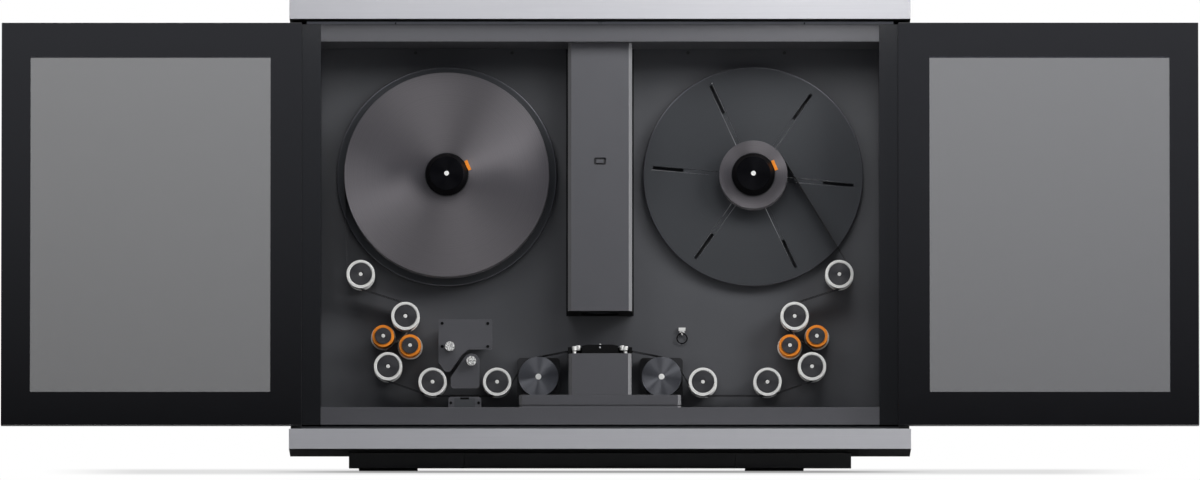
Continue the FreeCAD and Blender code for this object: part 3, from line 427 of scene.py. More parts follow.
def rings(tree, pitch, detail):
    """Rings round the piece's own centre at a pitch in mm. The shine stretches across them."""
    spot = add_node(tree, "UVMap", uv_map="centre")
    parts = add_node(tree, "SeparateXYZ", {0: spot}).outputs
    outward = add_node(tree, "CombineXYZ", {"X": parts["X"], "Z": parts["Y"]})
    across = add_node(tree, "VectorTransform", {0: outward}, vector_type="VECTOR",
                      convert_from="OBJECT", convert_to="WORLD")
    tree.links.new(across.outputs[0], tree.nodes["Principled BSDF"].inputs["Tangent"])
    reach = add_node(tree, "VectorMath", {0: spot}, operation="LENGTH").outputs["Value"]
    count = add_node(tree, "Math", {0: reach, 1: pitch * MM}, operation="DIVIDE")
    return add_node(tree, "TexNoise", {"W": count, "Scale": 1.0, "Detail": detail},
                    noise_dimensions="1D")


def powder_coat(name, colour, roughness):
    """Powder coat is baked paint with a fine orange-peel skin: even, dull, with soft highlights."""
    tree = start(name, Roughness=roughness, IOR=1.5)
    skin(tree, colour, grain(tree, 60.0), 0.06, grain(tree, 1.6), 0.05)


def anodised(name, colour, roughness):
    """Satin anodised metal: etched matte before the oxide is grown, with faint drawing lines."""
    tree = start(name, Metallic=1.0, Roughness=roughness)
    lines = grain(tree, 1.2, scale=(0.012, 1, 1))
    skin(tree, colour, lines, 0.04, lines, 0.01)


def turned(name, colour, roughness, pitch, metallic=1.0, anisotropy=0.75, spread=0.12, height=0.02):
    """Turned metal: the lathe leaves rings that throw the light into two opposite fans."""
    tree = start(name, Metallic=metallic, Roughness=roughness, Anisotropic=anisotropy)
    lines = rings(tree, pitch, 2.0)
    skin(tree, colour, lines, spread, lines, height)


def moulded(name, colour, roughness, size=0.8, **sockets):
    """Moulded plastic or cast rubber: one colour through, with the mould's fine spark texture."""
    tree = start(name, Roughness=roughness, IOR=1.5, **sockets)
    sparks = grain(tree, size)
    skin(tree, colour, sparks, 0.05, sparks, 0.02)


def smoked_glass(name, colour):
    """Smoked float glass: dark through its thickness, with a clear hard gloss. Both faces of the
    sheet dim what is behind it. They dim it a little more towards the lower edge as painted shade,
    so that the top reads lighter, as a reflection would make it."""
    tree = start(name, Roughness=0.02, IOR=1.5, Base_Color=(*colour, 1))
    spot = add_node(tree, "TexCoord").outputs["Object"]
    height = add_node(tree, "SeparateXYZ", {0: spot}).outputs["Z"]
    low, high = WINDOW_UP
    # Painted shade: the window lets less through lower down
    lower_edge_shade = add_node(tree, "MapRange", {0: height, 1: low * MM, 2: high * MM, 3: 0.62, 4: 0.55})
    tree.links.new(lower_edge_shade.outputs[0], tree.nodes["Principled BSDF"].inputs["Alpha"])


def black_glass(name, colour):
    """Glass with black enamel fired on its back: deep black under a clear gloss."""
    tree = start(name, Roughness=0.03, IOR=1.52)
    skin(tree, colour, grain(tree, 30.0), 0.2)


def wound_film(name, colour):
    """The edges of thousands of turns of film: thin rings, some a little prouder than others, that
    shine in two fans as a record does. Real turns are 0.15 mm apart, and are drawn coarser."""
    tree = start(name, Roughness=0.55, Anisotropic=0.95, IOR=1.5, Metallic=0.85)
    turns = rings(tree, 0.9, 3.0)
    skin(tree, colour, turns, 0.25, turns, 0.05)


def film_base(name, colour):
    """Processed film: a dark glossy polyester strip."""
    tree = start(name, Roughness=0.18, IOR=1.64)
    skin(tree, colour, grain(tree, 8.0), 0.15)


def cast_steel(name, colour):
    """Steel with a coarse blasted face: bright with darker pits."""
    tree = start(name, Metallic=0.5, Roughness=0.5)
    pits = add_node(tree, "MapRange", {0: grain(tree, 2.6, detail=3.0), 1: 0.38, 2: 0.63})
    skin(tree, colour, pits, 0.6, pits, 0.1)


def circuit_board(name, colour):
    """Solder mask over copper tracks."""
    tree = start(name, Roughness=0.35, IOR=1.5)
    tracks = grain(tree, 5.0, scale=(1, 1, 0.3))
    skin(tree, colour, tracks, 0.3, tracks, 0.03)


# Each finish: how it is made, its colour in the panel, and what sets it apart
FINISHES = {
    "satin_anodised_aluminium": (anodised, "aluminium", dict(roughness=0.6)),
    "black_powder_coat": (powder_coat, "black_paint", dict(roughness=0.5)),
    "post_gloss_paint": (powder_coat, "post_paint", dict(roughness=0.15)),
    "grey_powder_coat": (powder_coat, "grey_paint", dict(roughness=0.38)),
    "deck_powder_coat": (powder_coat, "deck_grey_shaded", dict(roughness=0.55)),
    "zinc_plated_steel": (anodised, "zinc", dict(roughness=0.5)),
    "polished_steel": (anodised, "steel", dict(roughness=0.2)),
    "black_rubber": (moulded, "rubber", dict(roughness=0.8)),
    "motor_enamel": (powder_coat, "motor_black", dict(roughness=0.4)),
    "black_abs": (moulded, "black_plastic", dict(roughness=0.42)),
    "solder_mask": (circuit_board, "board_green", {}),
    "smoked_float_glass": (smoked_glass, "smoke", {}),
    "black_enamelled_glass": (black_glass, "enamel", {}),
    "turned_black_aluminium": (turned, "turned_black", dict(roughness=0.4, pitch=1.2)),
    "turned_graphite_cap": (turned, "cap_grey", dict(roughness=0.45, pitch=1.4, metallic=0.2,
                                                     spread=0.3, height=0.06)),
    "blasted_aluminium": (moulded, "roller_ring", dict(roughness=0.5, size=0.5)),
    "knurled_steel": (cast_steel, "knob_steel", {}),
    "black_anodised_track": (powder_coat, "track_black", dict(roughness=0.5)),
    "turned_grey_aluminium": (turned, "capstan_grey", dict(roughness=0.4, pitch=0.9,
                                                           anisotropy=0.97)),
    "turned_platter_aluminium": (turned, "platter_grey", dict(roughness=0.5, pitch=1.6,
                                                              metallic=0.5, anisotropy=0.5)),
    "black_anodised_rim": (anodised, "rim_black", dict(roughness=0.32)),
    "milled_groove_edge": (anodised, "cut_metal", dict(roughness=0.5)),
    "black_oxide_steel": (moulded, "oxide_black", dict(roughness=0.8, Specular_IOR_Level=0.1)),
    "wound_film": (wound_film, "wound_film", {}),
    "film_base": (film_base, "film_base", {}),
    "black_polystyrene": (moulded, "core_black", dict(roughness=0.3)),
    "orange_acetal": (moulded, "orange", dict(roughness=0.4)),
    "orange_polyurethane": (moulded, "orange", dict(roughness=0.6)),
}


def finish(name):
    """The named finish, made on first use from the colours in the panel."""
    if name not in bpy.data.materials:
        maker, key, settings = FINISHES[name]
        maker(name, getattr(bpy.context.scene.scanner_colours, key), **settings)
    return bpy.data.materials[name]


# ------------ sizes and colours


def swatch(label, code, text):
    """A colour setting whose default is an sRGB hex value."""
    return FloatVectorProperty(name=label, description=text, subtype="COLOR", size=3, min=0, max=1,
                               default=linear(code))


def edge_width(label, text, default, low, high):
    """A setting for a broken edge, given in mm and kept in metres."""
    return FloatProperty(name=label, description=text, default=default * MM, min=low * MM,
                         max=high * MM, precision=5, unit="LENGTH")


def power(label, text, default):
    """A lamp's power in watts."""
    return FloatProperty(name=label, description=text, default=default, min=0, max=500,
                         unit="POWER")


def length(label, text, default, low, high):
    """A length of the studio in metres."""
    return FloatProperty(name=label, description=text, default=default, min=low, max=high,
                         unit="LENGTH")


class ScannerColours(PropertyGroup):
    """Colours of the finishes."""
    aluminium: swatch("Aluminium", "#acacaf", "Top and bottom bars")
    black_paint: swatch("Black paint", "#1d1e20", "Stand, door frames and rear cover")
    post_paint: swatch("Post paint", "#0e0f11", "Side posts")
    grey_paint: swatch("Grey paint", "#4e4e52", "Fascias, column, light source and reader")
    # The deck's colour is the grey paint a little darker, as painted shade in the bay
    deck_grey_shaded: swatch("Deck paint", "#4a4b4f", "Deck plate")
    zinc: swatch("Zinc", "#c6c8cc", "Door rails")
    steel: swatch("Steel", "#d8d8d6", "Screw in the gate")
    rubber: swatch("Rubber", "#161617", "Pads under the feet")
    motor_black: swatch("Motor black", "#1b1b1d", "Motor faces")
    black_plastic: swatch("Black plastic", "#1d1d1f", "Button and camera")
    board_green: swatch("Board green", "#1f5a37", "Main board")
    smoke: swatch("Smoke", "#292b34", "Windows of the doors")
    enamel: swatch("Enamel", "#0a0a0c", "Black border of the doors")
    turned_black: swatch("Turned black", "#101012", "Hubs")
    cap_grey: swatch("Cap grey", "#313134", "Caps of the rollers")
    track_black: swatch("Track black", "#3b3d40", "Guide fin under the doors")
    knob_steel: swatch("Knob steel", "#c8c8c6", "Thumbscrews and the peg's tongue")
    roller_ring: swatch("Roller ring", "#f1f1ef", "Flanges of the rollers, and small bright ends")
    capstan_grey: swatch("Capstan grey", "#5c5d61", "Capstans")
    platter_grey: swatch("Platter grey", "#35373a", "Platters")
    wound_film: swatch("Wound film", "#6c696c", "Rolls of film")
    film_base: swatch("Film", "#241f1b", "Threaded film")
    core_black: swatch("Core black", "#1a1a1b", "Cores")
    cut_metal: swatch("Cut metal", "#dcdcde", "Sides of the platters' grooves")
    # The rims' dark colour is painted shade round the platters
    rim_black: swatch("Rim black", "#545458", "Broken rims of the platters")
    # On the undersides of the bars and the column, this black is painted shade
    oxide_black: swatch("Oxide black", "#0b0b0c", "Gate, ring, dark screws and undersides")
    orange: swatch("Orange", "#ff9420", "Lock tabs and transfer rollers")


class ScannerSizes(PropertyGroup):
    """Small sizes that are only in the visible pieces."""
    bar_edge: edge_width("Bar edge", "Broken edge of the bars", 0.8, 0.1, 3.0)
    sheet_edge: edge_width("Sheet edge", "Broken edge of sheet metal", 0.5, 0.1, 1.2)
    small_edge: edge_width("Small edge", "Broken edge of small turned pieces", 0.3, 0.05, 0.8)
    knurls: IntProperty(name="Knurls", description="Hollows round each thumbscrew", default=72,
                        min=24, max=120)


class StudioSettings(PropertyGroup):
    """Lights and camera."""
    key_power: power("Key light", "Soft lamp above on the right", 4.9)
    right_power: power("Right light", "Soft lamp far to the front right", 46.0)
    fill_power: power("Fill light", "Soft lamp above on the left", 3.0)
    side_power: power("Side light", "Large lamp far to the right", 66.0)
    left_power: power("Left light", "Large lamp far to the left", 12.0)
    rear_power: power("Rear light", "Lamp behind, off the front", 40.0)
    ambient: FloatProperty(name="Ambient", description="Even light from all round", default=0.004,
                           min=0, max=2)
    camera_distance: length("Camera distance", "Distance to the bars' front", 36.0, 5, 39)
    camera_rise: FloatProperty(name="Camera angle", description="How far the camera looks up",
                               default=math.radians(5.5), min=0, max=0.5, subtype="ANGLE")
    photo_width: length("Width in view", "Width that the picture takes in", 2.0496, 0.5, 5)
    photo_height: length("Centre height", "Height at the picture's middle", 0.3888, 0, 2)


# ------------ stage


def bare_tree(data):
    """The node tree of a world or material, emptied."""
    data.use_nodes = True
    data.node_tree.nodes.clear()
    return data.node_tree


class SCANNER_OT_stage(Operator):
    """Adds the floor, the backdrop light, the lamps and the camera"""
    bl_idname = "scanner.stage"
    bl_label = "Stage"

    def execute(self, context):
        studio = context.scene.studio
        context.scene.view_settings.view_transform = "Standard"
        self.make_camera(context, studio)
        self.make_world(context, studio)
        self.make_lamps(context, studio)
        self.make_floor()
        self.make_card()
        return {"FINISHED"}

    def make_camera(self, context, studio):
        data = bpy.data.cameras.new("camera")
        camera = bpy.data.objects.new("camera", data)
        context.scene.collection.objects.link(camera)
        up = studio.camera_rise
        look = Vector((0, math.cos(up), math.sin(up)))
        camera.location = Vector((0, FRONT, studio.photo_height)) - look * studio.camera_distance
        camera.rotation_euler = (math.pi / 2 + up, 0, 0)
        data.sensor_width = 36
        data.lens = data.sensor_width * studio.camera_distance / studio.photo_width
        data.clip_start = 1
        data.clip_end = 200
        context.scene.camera = camera

    def make_world(self, context, studio):
        """White where it is seen. Metal shows a room that pales upwards, and its light is faint"""
        world = bpy.data.worlds.new("studio")
        context.scene.world = world
        tree = bare_tree(world)
        ray = add_node(tree, "LightPath").outputs
        way = add_node(tree, "TexCoord").outputs["Generated"]
        height = add_node(tree, "SeparateXYZ", {0: way}).outputs["Z"]
        room = add_node(tree, "MapRange", {0: height, 1: -0.6, 2: 0.8, 3: 0.12, 4: 0.6})
        soft = add_node(tree, "MapRange", {0: height, 1: -0.8, 2: 0.8, 3: 0.4 * studio.ambient,
                                           4: 1.6 * studio.ambient})
        around = add_node(tree, "Mix", {0: ray["Is Glossy Ray"], 2: soft, 3: room})
        seen = add_node(tree, "Math", {0: ray["Is Camera Ray"], 1: ray["Is Transmission Ray"]},
                        operation="MAXIMUM")
        light = add_node(tree, "Mix", {0: seen, 2: around, 3: 1.0})
        back = add_node(tree, "Background", {"Color": WHITE, "Strength": light})
        add_node(tree, "OutputWorld", {"Surface": back})

    def make_lamps(self, context, studio):
        aim = Vector((0, FRONT, 0.45))
        for name, size, watts, at in (("key", 0.6, studio.key_power, (0.4, -0.9, 1.15)),
                                      ("right", 1.2, studio.right_power, (2.4, -1.8, 1.7)),
                                      ("fill", 0.6, studio.fill_power, (-0.4, -0.9, 1.15)),
                                      ("side", 1.0, studio.side_power, (3, -0.7, 0.7)),
                                      ("left", 1.0, studio.left_power, (-3, -0.7, 0.7)),
                                      ("rear", 1.5, studio.rear_power, (-0.8, 2.5, 1.6))):
            data = bpy.data.lights.new(name, "AREA")
            data.shape = "DISK"
            data.size = size
            data.energy = watts
            lamp = bpy.data.objects.new(name, data)
            context.scene.collection.objects.link(lamp)
            lamp.location = at
            lamp.rotation_euler = (aim - lamp.location).to_track_quat("-Z", "Y").to_euler()

    def make_floor(self):
        floor = primitive("floor", "plane", size=16, location=(0, 0, -0.3 * MM))
        material = bpy.data.materials.new("studio_floor")
        tree = bare_tree(material)
        ray = add_node(tree, "LightPath").outputs
        face = add_node(tree, "NewGeometry").outputs
        spot = add_node(tree, "SeparateXYZ", {0: face["Position"]}).outputs
        # Seen from below, it glows white with two soft painted shadows under the stand
        away = add_node(tree, "Math", {0: spot["Y"], 1: depth(97)}, operation="SUBTRACT")
        away = add_node(tree, "Math", {0: away}, operation="ABSOLUTE")
        aside = add_node(tree, "Math", {0: spot["X"]}, operation="ABSOLUTE")
        tone = 1.0
        for near, far, inner, outer, dark in ((0.02, 0.08, 0.76, 0.97, 0.25),
                                              (0.012, 0.027, 0.36, 0.62, 0.42)):
            across = add_node(tree, "MapRange", {0: away, 1: near, 2: far, 3: dark, 4: 0.0},
                              interpolation_type="SMOOTHSTEP")
            along = add_node(tree, "MapRange", {0: aside, 1: inner, 2: outer, 3: 1.0, 4: 0.0},
                             interpolation_type="SMOOTHSTEP")
            # Each band is a painted shadow, darker near the stand's line
            painted_shadow = add_node(tree, "Math", {0: across, 1: along}, operation="MULTIPLY")
            tone = add_node(tree, "Math", {0: tone, 1: painted_shadow}, operation="SUBTRACT")
        under = add_node(tree, "Emission", {"Color": WHITE, "Strength": tone})
        # It is clear in front of the pads and the crossbar, so that it hides nothing of them
        limit = FRONT + 0.03
        for left, right in PADS:
            inside = add_node(tree, "Math", {0: spot["X"], 1: (left + right) / 2 * MM,
                                             2: (right - left) / 2 * MM}, operation="COMPARE")
            limit = add_node(tree, "Math", {0: inside, 1: 0.051, 2: limit},
                             operation="MULTIPLY_ADD")
        near = add_node(tree, "Math", {0: spot["Y"], 1: limit}, operation="LESS_THAN")
        clear = add_node(tree, "BsdfTransparent")
        below = add_node(tree, "MixShader", {0: near, 1: under, 2: clear})
        # Seen from above, it is pale and runs into the white backdrop
        top, dull = (add_node(tree, "BsdfDiffuse", {"Color": (*linear(code), 1)})
                     for code in ("#efefef", "#a0a0a0"))
        bounce = add_node(tree, "MixShader", {0: ray["Is Diffuse Ray"], 1: top, 2: dull})
        far = add_node(tree, "VectorMath", {0: face["Position"]}, operation="LENGTH").outputs
        pale = add_node(tree, "MapRange", {0: far["Value"], 1: 1.5, 2: 7.5, 3: 0.4, 4: 1.0},
                        interpolation_type="SMOOTHSTEP")
        glow = add_node(tree, "Emission", {"Color": pale, "Strength": ray["Is Camera Ray"]})
        above = add_node(tree, "AddShader", {0: bounce, 1: glow})
        from_below = add_node(tree, "Math", {0: face["Backfacing"], 1: ray["Is Camera Ray"]},
                              operation="MULTIPLY")
        shader = add_node(tree, "MixShader", {0: from_below, 1: above, 2: below})
        add_node(tree, "OutputMaterial", {"Surface": shader})
        floor.data.materials.append(material)

    def make_card(self):
        """A pale card in front that only shows as a reflection, darker towards its foot"""
        card = primitive("card", "plane", (7, 3, 1), size=1, location=(0, -2.5, 0.9),
                         rotation=(math.pi / 2, 0, 0))
        material = bpy.data.materials.new("reflected_card")
        tree = bare_tree(material)
        ray = add_node(tree, "LightPath").outputs
        spot = add_node(tree, "TexCoord").outputs["Object"]
        height = add_node(tree, "SeparateXYZ", {0: spot}).outputs["Z"]
        tone = add_node(tree, "MapRange", {0: height, 1: 0.28, 2: 1.0, 3: 0.143, 4: 0.704})
        glow = add_node(tree, "Emission", {"Color": (*linear("#eff2ff"), 1), "Strength": tone})
        clear = add_node(tree, "BsdfTransparent")
        shader = add_node(tree, "MixShader", {0: ray["Is Glossy Ray"], 1: clear, 2: glow})
        add_node(tree, "OutputMaterial", {"Surface": shader})
        card.data.materials.append(material)


# ------------ pieces


class SCANNER_OT_bars(Operator):
    """Adds the silver top bar and bottom bar"""
    bl_idname = "scanner.bars"
    bl_label = "Bars"

    def execute(self, context):
        width = context.scene.scanner_sizes.bar_edge / MM
        for name in ("top_bar", "bottom_bar"):
            low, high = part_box(name)
            bar = refit(name + "_extrusion", name, width, "satin_aluminium",
                        "satin_anodised_aluminium")
            # The undersides are painted black as painted shade under the bars
            paint_where(bar, "black_oxide_steel", lambda c: c.z < low.z + 0.2 * MM)
            if name == "bottom_bar":
                paint_where(bar, "black_anodised_track", lambda c: c.z > high.z - 6.5 * MM)
        return {"FINISHED"}


class SCANNER_OT_surround(Operator):
    """Adds the posts and the fascias round the bay"""
    bl_idname = "scanner.surround"
    bl_label = "Surround"

    def execute(self, context):
        width = context.scene.scanner_sizes.sheet_edge / MM
        refit("side_posts", "side_walls", width, "black_paint", "post_gloss_paint")
        refit("fascia_strips", "front_fascias", width, *GREY)
        return {"FINISHED"}


class SCANNER_OT_deck(Operator):
    """Adds the deck plate and the rear cover"""
    bl_idname = "scanner.deck"
    bl_label = "Deck and rear cover"

    def execute(self, context):
        width = context.scene.scanner_sizes.sheet_edge / MM
        # The deck paint is the grey paint a little darker: painted shade in the bay
        refit("deck_sheet", "deck_plate", width, "grey_paint", "deck_powder_coat")
        refit("rear_tray", "rear_cover", width, *BLACK)
        return {"FINISHED"}


class SCANNER_OT_stand(Operator):
    """Adds the stand and its pads"""
    bl_idname = "scanner.stand"
    bl_label = "Stand"

    def execute(self, context):
        refit("stand_feet", "stand_frame", 0.8, *BLACK)
        refit("foot_pads", "stand_pads", 0.6, "rubber_pad", "black_rubber")
        return {"FINISHED"}


class SCANNER_OT_doors(Operator):
    """Adds the glass doors and finishes their rails"""
    bl_idname = "scanner.doors"
    bl_label = "Doors"

    def execute(self, context):
        for side, sign in SIDES.items():
            body = side + "_door"
            self.make_glass(side, sign, body)
            refit(body + "_rim", body + "_frame", 0.5, *BLACK, body)
            paint_node(side + "_slide_middle", "zinc_plated_steel")
        paint_node("door_rails", "zinc_plated_steel")
        bridge = cut_out("rail_bridge", [(-1.4 * MM, depth(d), z * MM) for d, z in RAIL_SECTION],
                         (2.8 * MM, 0, 0))
        place(bridge, "cabinet", "rail_steel", "zinc_plated_steel")
        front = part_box("door_rails")[0].y
        for side, sign in SIDES.items():
            x = sign * RAIL_STOP * MM
            stop = slab(side + "_rail_stop", (x - MM, front - 0.4 * MM, 763 * MM),
                        (x + MM, front + MM, 766 * MM))
            place(stop, "cabinet", *DARK)
        return {"FINISHED"}

    def make_glass(self, side, sign, body):
        """A sheet with a black border round a window that is see-through"""
        inner, outer = (mm * MM for mm in WINDOW_ACROSS)
        foot, head = (mm * MM for mm in WINDOW_UP)
        glass = slab(side + "_glass_sheet", *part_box(body + "_glass"))
        edit(glass)
        for axis, lines in ((Vector((1, 0, 0)), (sign * inner, sign * outer)),
                            (Vector((0, 0, 1)), (foot, head))):
            for line in lines:
                bpy.ops.mesh.select_all(action="SELECT")
                bpy.ops.mesh.bisect(plane_co=axis * line, plane_no=axis)
        done()
        soften(glass, 0.5)
        glass.data.materials.append(finish("black_enamelled_glass"))
        paint_where(glass, "smoked_float_glass",
                    lambda c: inner < abs(c.x) < outer and foot < c.z < head)
        place(glass, body, "door_glass", None, body + "_glass")


class SCANNER_OT_reels(Operator):
    """Adds the platters, hubs, lock tabs, cores and rolls of film"""
    bl_idname = "scanner.reels"
    bl_label = "Reels"

    def execute(self, context):
        small = context.scene.scanner_sizes.small_edge / MM
        for side in SIDES:
            body = side + "_reel"
            centre = middle(side + "_core")
            self.make_platter(side, body, centre)
            hub = centre_map(refine(side + "_turned_hub", side + "_hub", small), centre)
            place(hub, body, "turned_black", "turned_black_aluminium", side + "_hub")
            paint_where(hub, "blasted_aluminium",
                        lambda c: c.y < depth(74.9) and away_from(centre, c) < 4.2 * MM)
            refit(side + "_tab", side + "_lock_tab", 0.4, "orange_plastic", "orange_acetal",
                  side + "_lock_tab", lambda obj: self.square(obj, centre))
            core = turn(side + "_moulded_core", centre,
                        tube(CORE_BORE, CORE_RADIUS, FILM_FRONT, FILM_BACK))
            place(core, body, "core_black", "black_polystyrene", side + "_core")
            low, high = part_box(side + "_film_roll")
            size = (high.x - low.x) / 2 / MM
            roll = turn(side + "_wound_roll", centre,
                        tube(CORE_RADIUS, size, FILM_FRONT, FILM_BACK), 192, 0.8)
            place(centre_map(roll, centre), body, "film_brown", "wound_film", side + "_film_roll")
        return {"FINISHED"}

    def make_platter(self, side, body, centre):
        """A platter with bright groove sides, and a rim painted dark as painted shade round its
        edge
        """
        node = side + "_platter"
        low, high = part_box(node)
        rim = (high.x - low.x) / 2
        platter = refine(side + "_turned_platter", node, 0.12,
                         lambda obj: self.open_slots(obj, centre, low.y, rim))
        place(centre_map(platter, centre), body, "platter_grey", "turned_platter_aluminium", node)
        inside = rim - RIM_EDGE * MM + NEAR
        paint_where(platter, "milled_groove_edge", lambda c: away_from(centre, c) <= inside and
                    0.2 * MM < c.y - low.y < 0.95 * MM)
        # The rim's dark finish is painted shade round the platter's edge
        paint_where(platter, "black_anodised_rim", lambda c: away_from(centre, c) > inside and
                    c.y < low.y + 2 * MM)

    def open_slots(self, obj, centre, face, rim):
        """Makes the six slots a little wider, breaks the sides of their grooves, and the rim"""
        inner, outer = (mm * MM for mm in SLOT_REACH)
        for index in range(6):
            axes = Matrix.Rotation(-math.radians(SLOT_ANGLE + 60 * index), 3, "Y")
            for line in (-GROOVE_HALF * MM, GROOVE_HALF * MM):
                def on_groove(v):
                    spot = axes.inverted() @ (v - centre)
                    return (v.y < face + NEAR and spot.x > GROOVE_START * MM and
                            abs(spot.z - line) < NEAR)
                chamfer(obj, GROOVE_EDGE, on_groove)
            stretch(obj, centre, axes, 0, (1, 1, 1.3),
                    lambda s: inner < s.x < outer and abs(s.z) < SLOT_HALF * MM)
        chamfer(obj, RIM_EDGE, lambda v: v.y < face + NEAR and away_from(centre, v) > rim - NEAR, 2)

    def square(self, obj, centre):
        """Makes the tab's inner side straight and keeps a share of the outer one's hollow"""
        axes = Matrix.Rotation(-math.radians(TAB_ANGLE), 3, "Y")
        for inner, outer, edge, share in TAB_SIDES:
            stretch(obj, centre, axes, edge, (share, 1, 1),
                    lambda s: inner * MM < s.x < outer * MM)


class SCANNER_OT_rollers(Operator):
    """Adds the guide rollers and transfer rollers with their caps and screws"""
    bl_idname = "scanner.rollers"
    bl_label = "Rollers"

    def execute(self, context):
        small = context.scene.scanner_sizes.small_edge / MM
        first, second = middle("left_guide_roller_1"), middle("left_transfer_roller_1")
        guide = turn("left_guide_1", first, GUIDE, width=small)
        cap = centre_map(turn("cap", first, GUIDE_CAP, width=small), first)
        screw = turn("screw", first, GUIDE_SCREW, steps=48, width=small)
        sleeve = turn("sleeve", second, SLEEVE, width=small)
        hub = turn("hub", second, SLEEVE_HUB, width=small)
        pin = centre_map(turn("pin", second, SLEEVE_CAP, width=small), second)
        head = (*BRIGHT, "front_fasteners")
        front = ("turned_black", "turned_graphite_cap", "roller_studs")
        rim = ("satin_aluminium", "blasted_aluminium", None)
        soft = ("orange_rubber", "orange_polyurethane", None)
        # What is copied, where it was made, how much deeper it goes, its name and its finish. A
        # piece without a node of its own stands for the roller and rides on it.
        kinds = (("guide", 5, ((guide, first, 0, "flanged_roller", rim),
                               (cap, first, 0, "roller_cap", front),
                               (screw, first, 0, "roller_screw", head))),
                 ("transfer", 2, ((sleeve, second, 0, "soft_sleeve", soft),
                                  (hub, second, 0, "sleeve_hub", rim),
                                  (pin, second, 0, "soft_roller_cap", front),
                                  (screw, first, SLEEVE_SCREW_BACK, "soft_roller_screw", head))))
        for side, (kind, count, pieces) in product(SIDES, kinds):
            for index in range(1, count + 1):
                roller = "%s_%s_roller_%d" % (side, kind, index)
                for piece, made_at, back, name, (slot, material, node) in pieces:
                    by = middle(roller) - made_at
                    by.y = back * MM
                    twin = copy(piece, "%s_%s_%d" % (side, name, index), by)
                    place(twin, "cabinet" if node else roller, slot, material, node or roller)
        for piece in (guide, cap, screw, sleeve, hub, pin):
            bpy.data.objects.remove(piece)
        return {"FINISHED"}


class SCANNER_OT_capstans(Operator):
    """Adds the capstans and the motors behind them"""
    bl_idname = "scanner.capstans"
    bl_label = "Capstans"

    def execute(self, context):
        small = context.scene.scanner_sizes.small_edge / MM
        for side in SIDES:
            node = side + "_capstan"
            centre = middle(node)
            drum = centre_map(turn(side + "_drive_drum", centre, DRUM, width=small), centre)
            place(drum, node, "platter_grey", "turned_grey_aluminium", node)
            shaft = turn(side + "_drive_shaft", centre, SHAFT, steps=48, width=small)
            place(shaft, node, *BRIGHT)
        refit("motor_housings", "drive_motors", 0.6, "motor_black", "motor_enamel")
        return {"FINISHED"}


class SCANNER_OT_film(Operator):
    """Finishes the threaded film"""
    bl_idname = "scanner.film"
    bl_label = "Film"

    def execute(self, context):
        paint_node("film_strip", "film_base")
        return {"FINISHED"}


class SCANNER_OT_column(Operator):
    """Adds the camera column with its button"""
    bl_idname = "scanner.column"
    bl_label = "Camera column"

    def execute(self, context):
        low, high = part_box("camera_column")
        column = refit("column_cover", "camera_column", 0.5, *GREY)
        # Its underside is painted black as painted shade, and its inside is black, which also
        # stands in for shade
        paint_where(column, "black_oxide_steel", lambda c: c.z < low.z + NEAR or (
            abs(c.x) < high.x - 2 * MM and low.y + 9 * MM < c.y < high.y - 2 * MM))
        # A black strip each side of the column is painted shade in the gap between column and deck
        for side, sign in SIDES.items():
            edge = sign * high.x
            gap_shade = slab(side + "_column_seam", (edge, depth(150.2), low.z),
                        (edge + sign * 2.8 * MM, depth(151), 762 * MM))
            place(gap_shade, "cabinet", *DARK)
        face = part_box("column_button")[0].y
        button = refit("push_button", "column_button", 0.9, "black_plastic", "black_abs",
                       "column_button")
        paint_where(button, "grey_powder_coat", lambda c: c.y < face + NEAR)
        paint_node("camera_module", "black_abs")
        return {"FINISHED"}


class SCANNER_OT_light(Operator):
    """Adds the light source, its base and the film gate"""
    bl_idname = "scanner.light"
    bl_label = "Light source and gate"

    def execute(self, context):
        refit("light_cover", "light_housing", 0.4, *GREY)
        refit("light_plinth", "light_base", 0.4, *GREY, change=self.break_corners)
        refit("gate_block", "film_gate", 0.4, "black_plastic", "black_oxide_steel")
        paint_node("led_board", "motor_enamel")
        self.make_pins()
        return {"FINISHED"}

    def break_corners(self, obj):
        """Breaks the base's two upright front edges"""
        low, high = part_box("light_base")
        for sign in SIDES.values():
            chamfer(obj, 5.4, lambda v: v.y < low.y + NEAR and v.x * sign > high.x - NEAR)

    def make_pins(self):
        """Headed pins in the gate's pockets with dark necks, its centre screw and tip"""
        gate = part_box("film_gate")[0].z / MM
        for side, sign in SIDES.items():
            for index, (x, d, neck, top) in enumerate([(43.9, 63.5, 5.8, 12.8),
                                                       (37.6, 90.0, 8.4, 16.6)]):
                pin = upright("%s_gate_pin_%d" % (side, index + 1), sign * x, d, gate,
                              [(0, 0), (3, 0), (3, neck - 1.6), (2.4, neck - 1.6), (2.4, neck),
                               (3.9, neck), (3.9, top), (0, top)])
                place(pin, "cabinet", *BRIGHT, "front_fasteners")
                paint_where(pin, "black_oxide_steel", lambda c: c.z < (gate + neck - 0.2) * MM and
                            (index == 1 or c.z > (gate + neck - 1.7) * MM))
        tip = upright("gate_tip", 0, 62.2, gate + 15.6, rod(1.6, 0, 1.2))
        place(tip, "cabinet", *BRIGHT, "front_fasteners")
        place(disc("gate_screw", 0, gate + 10.6, 1.6, 58), "cabinet", "bright_steel",
              "polished_steel", "front_fasteners")


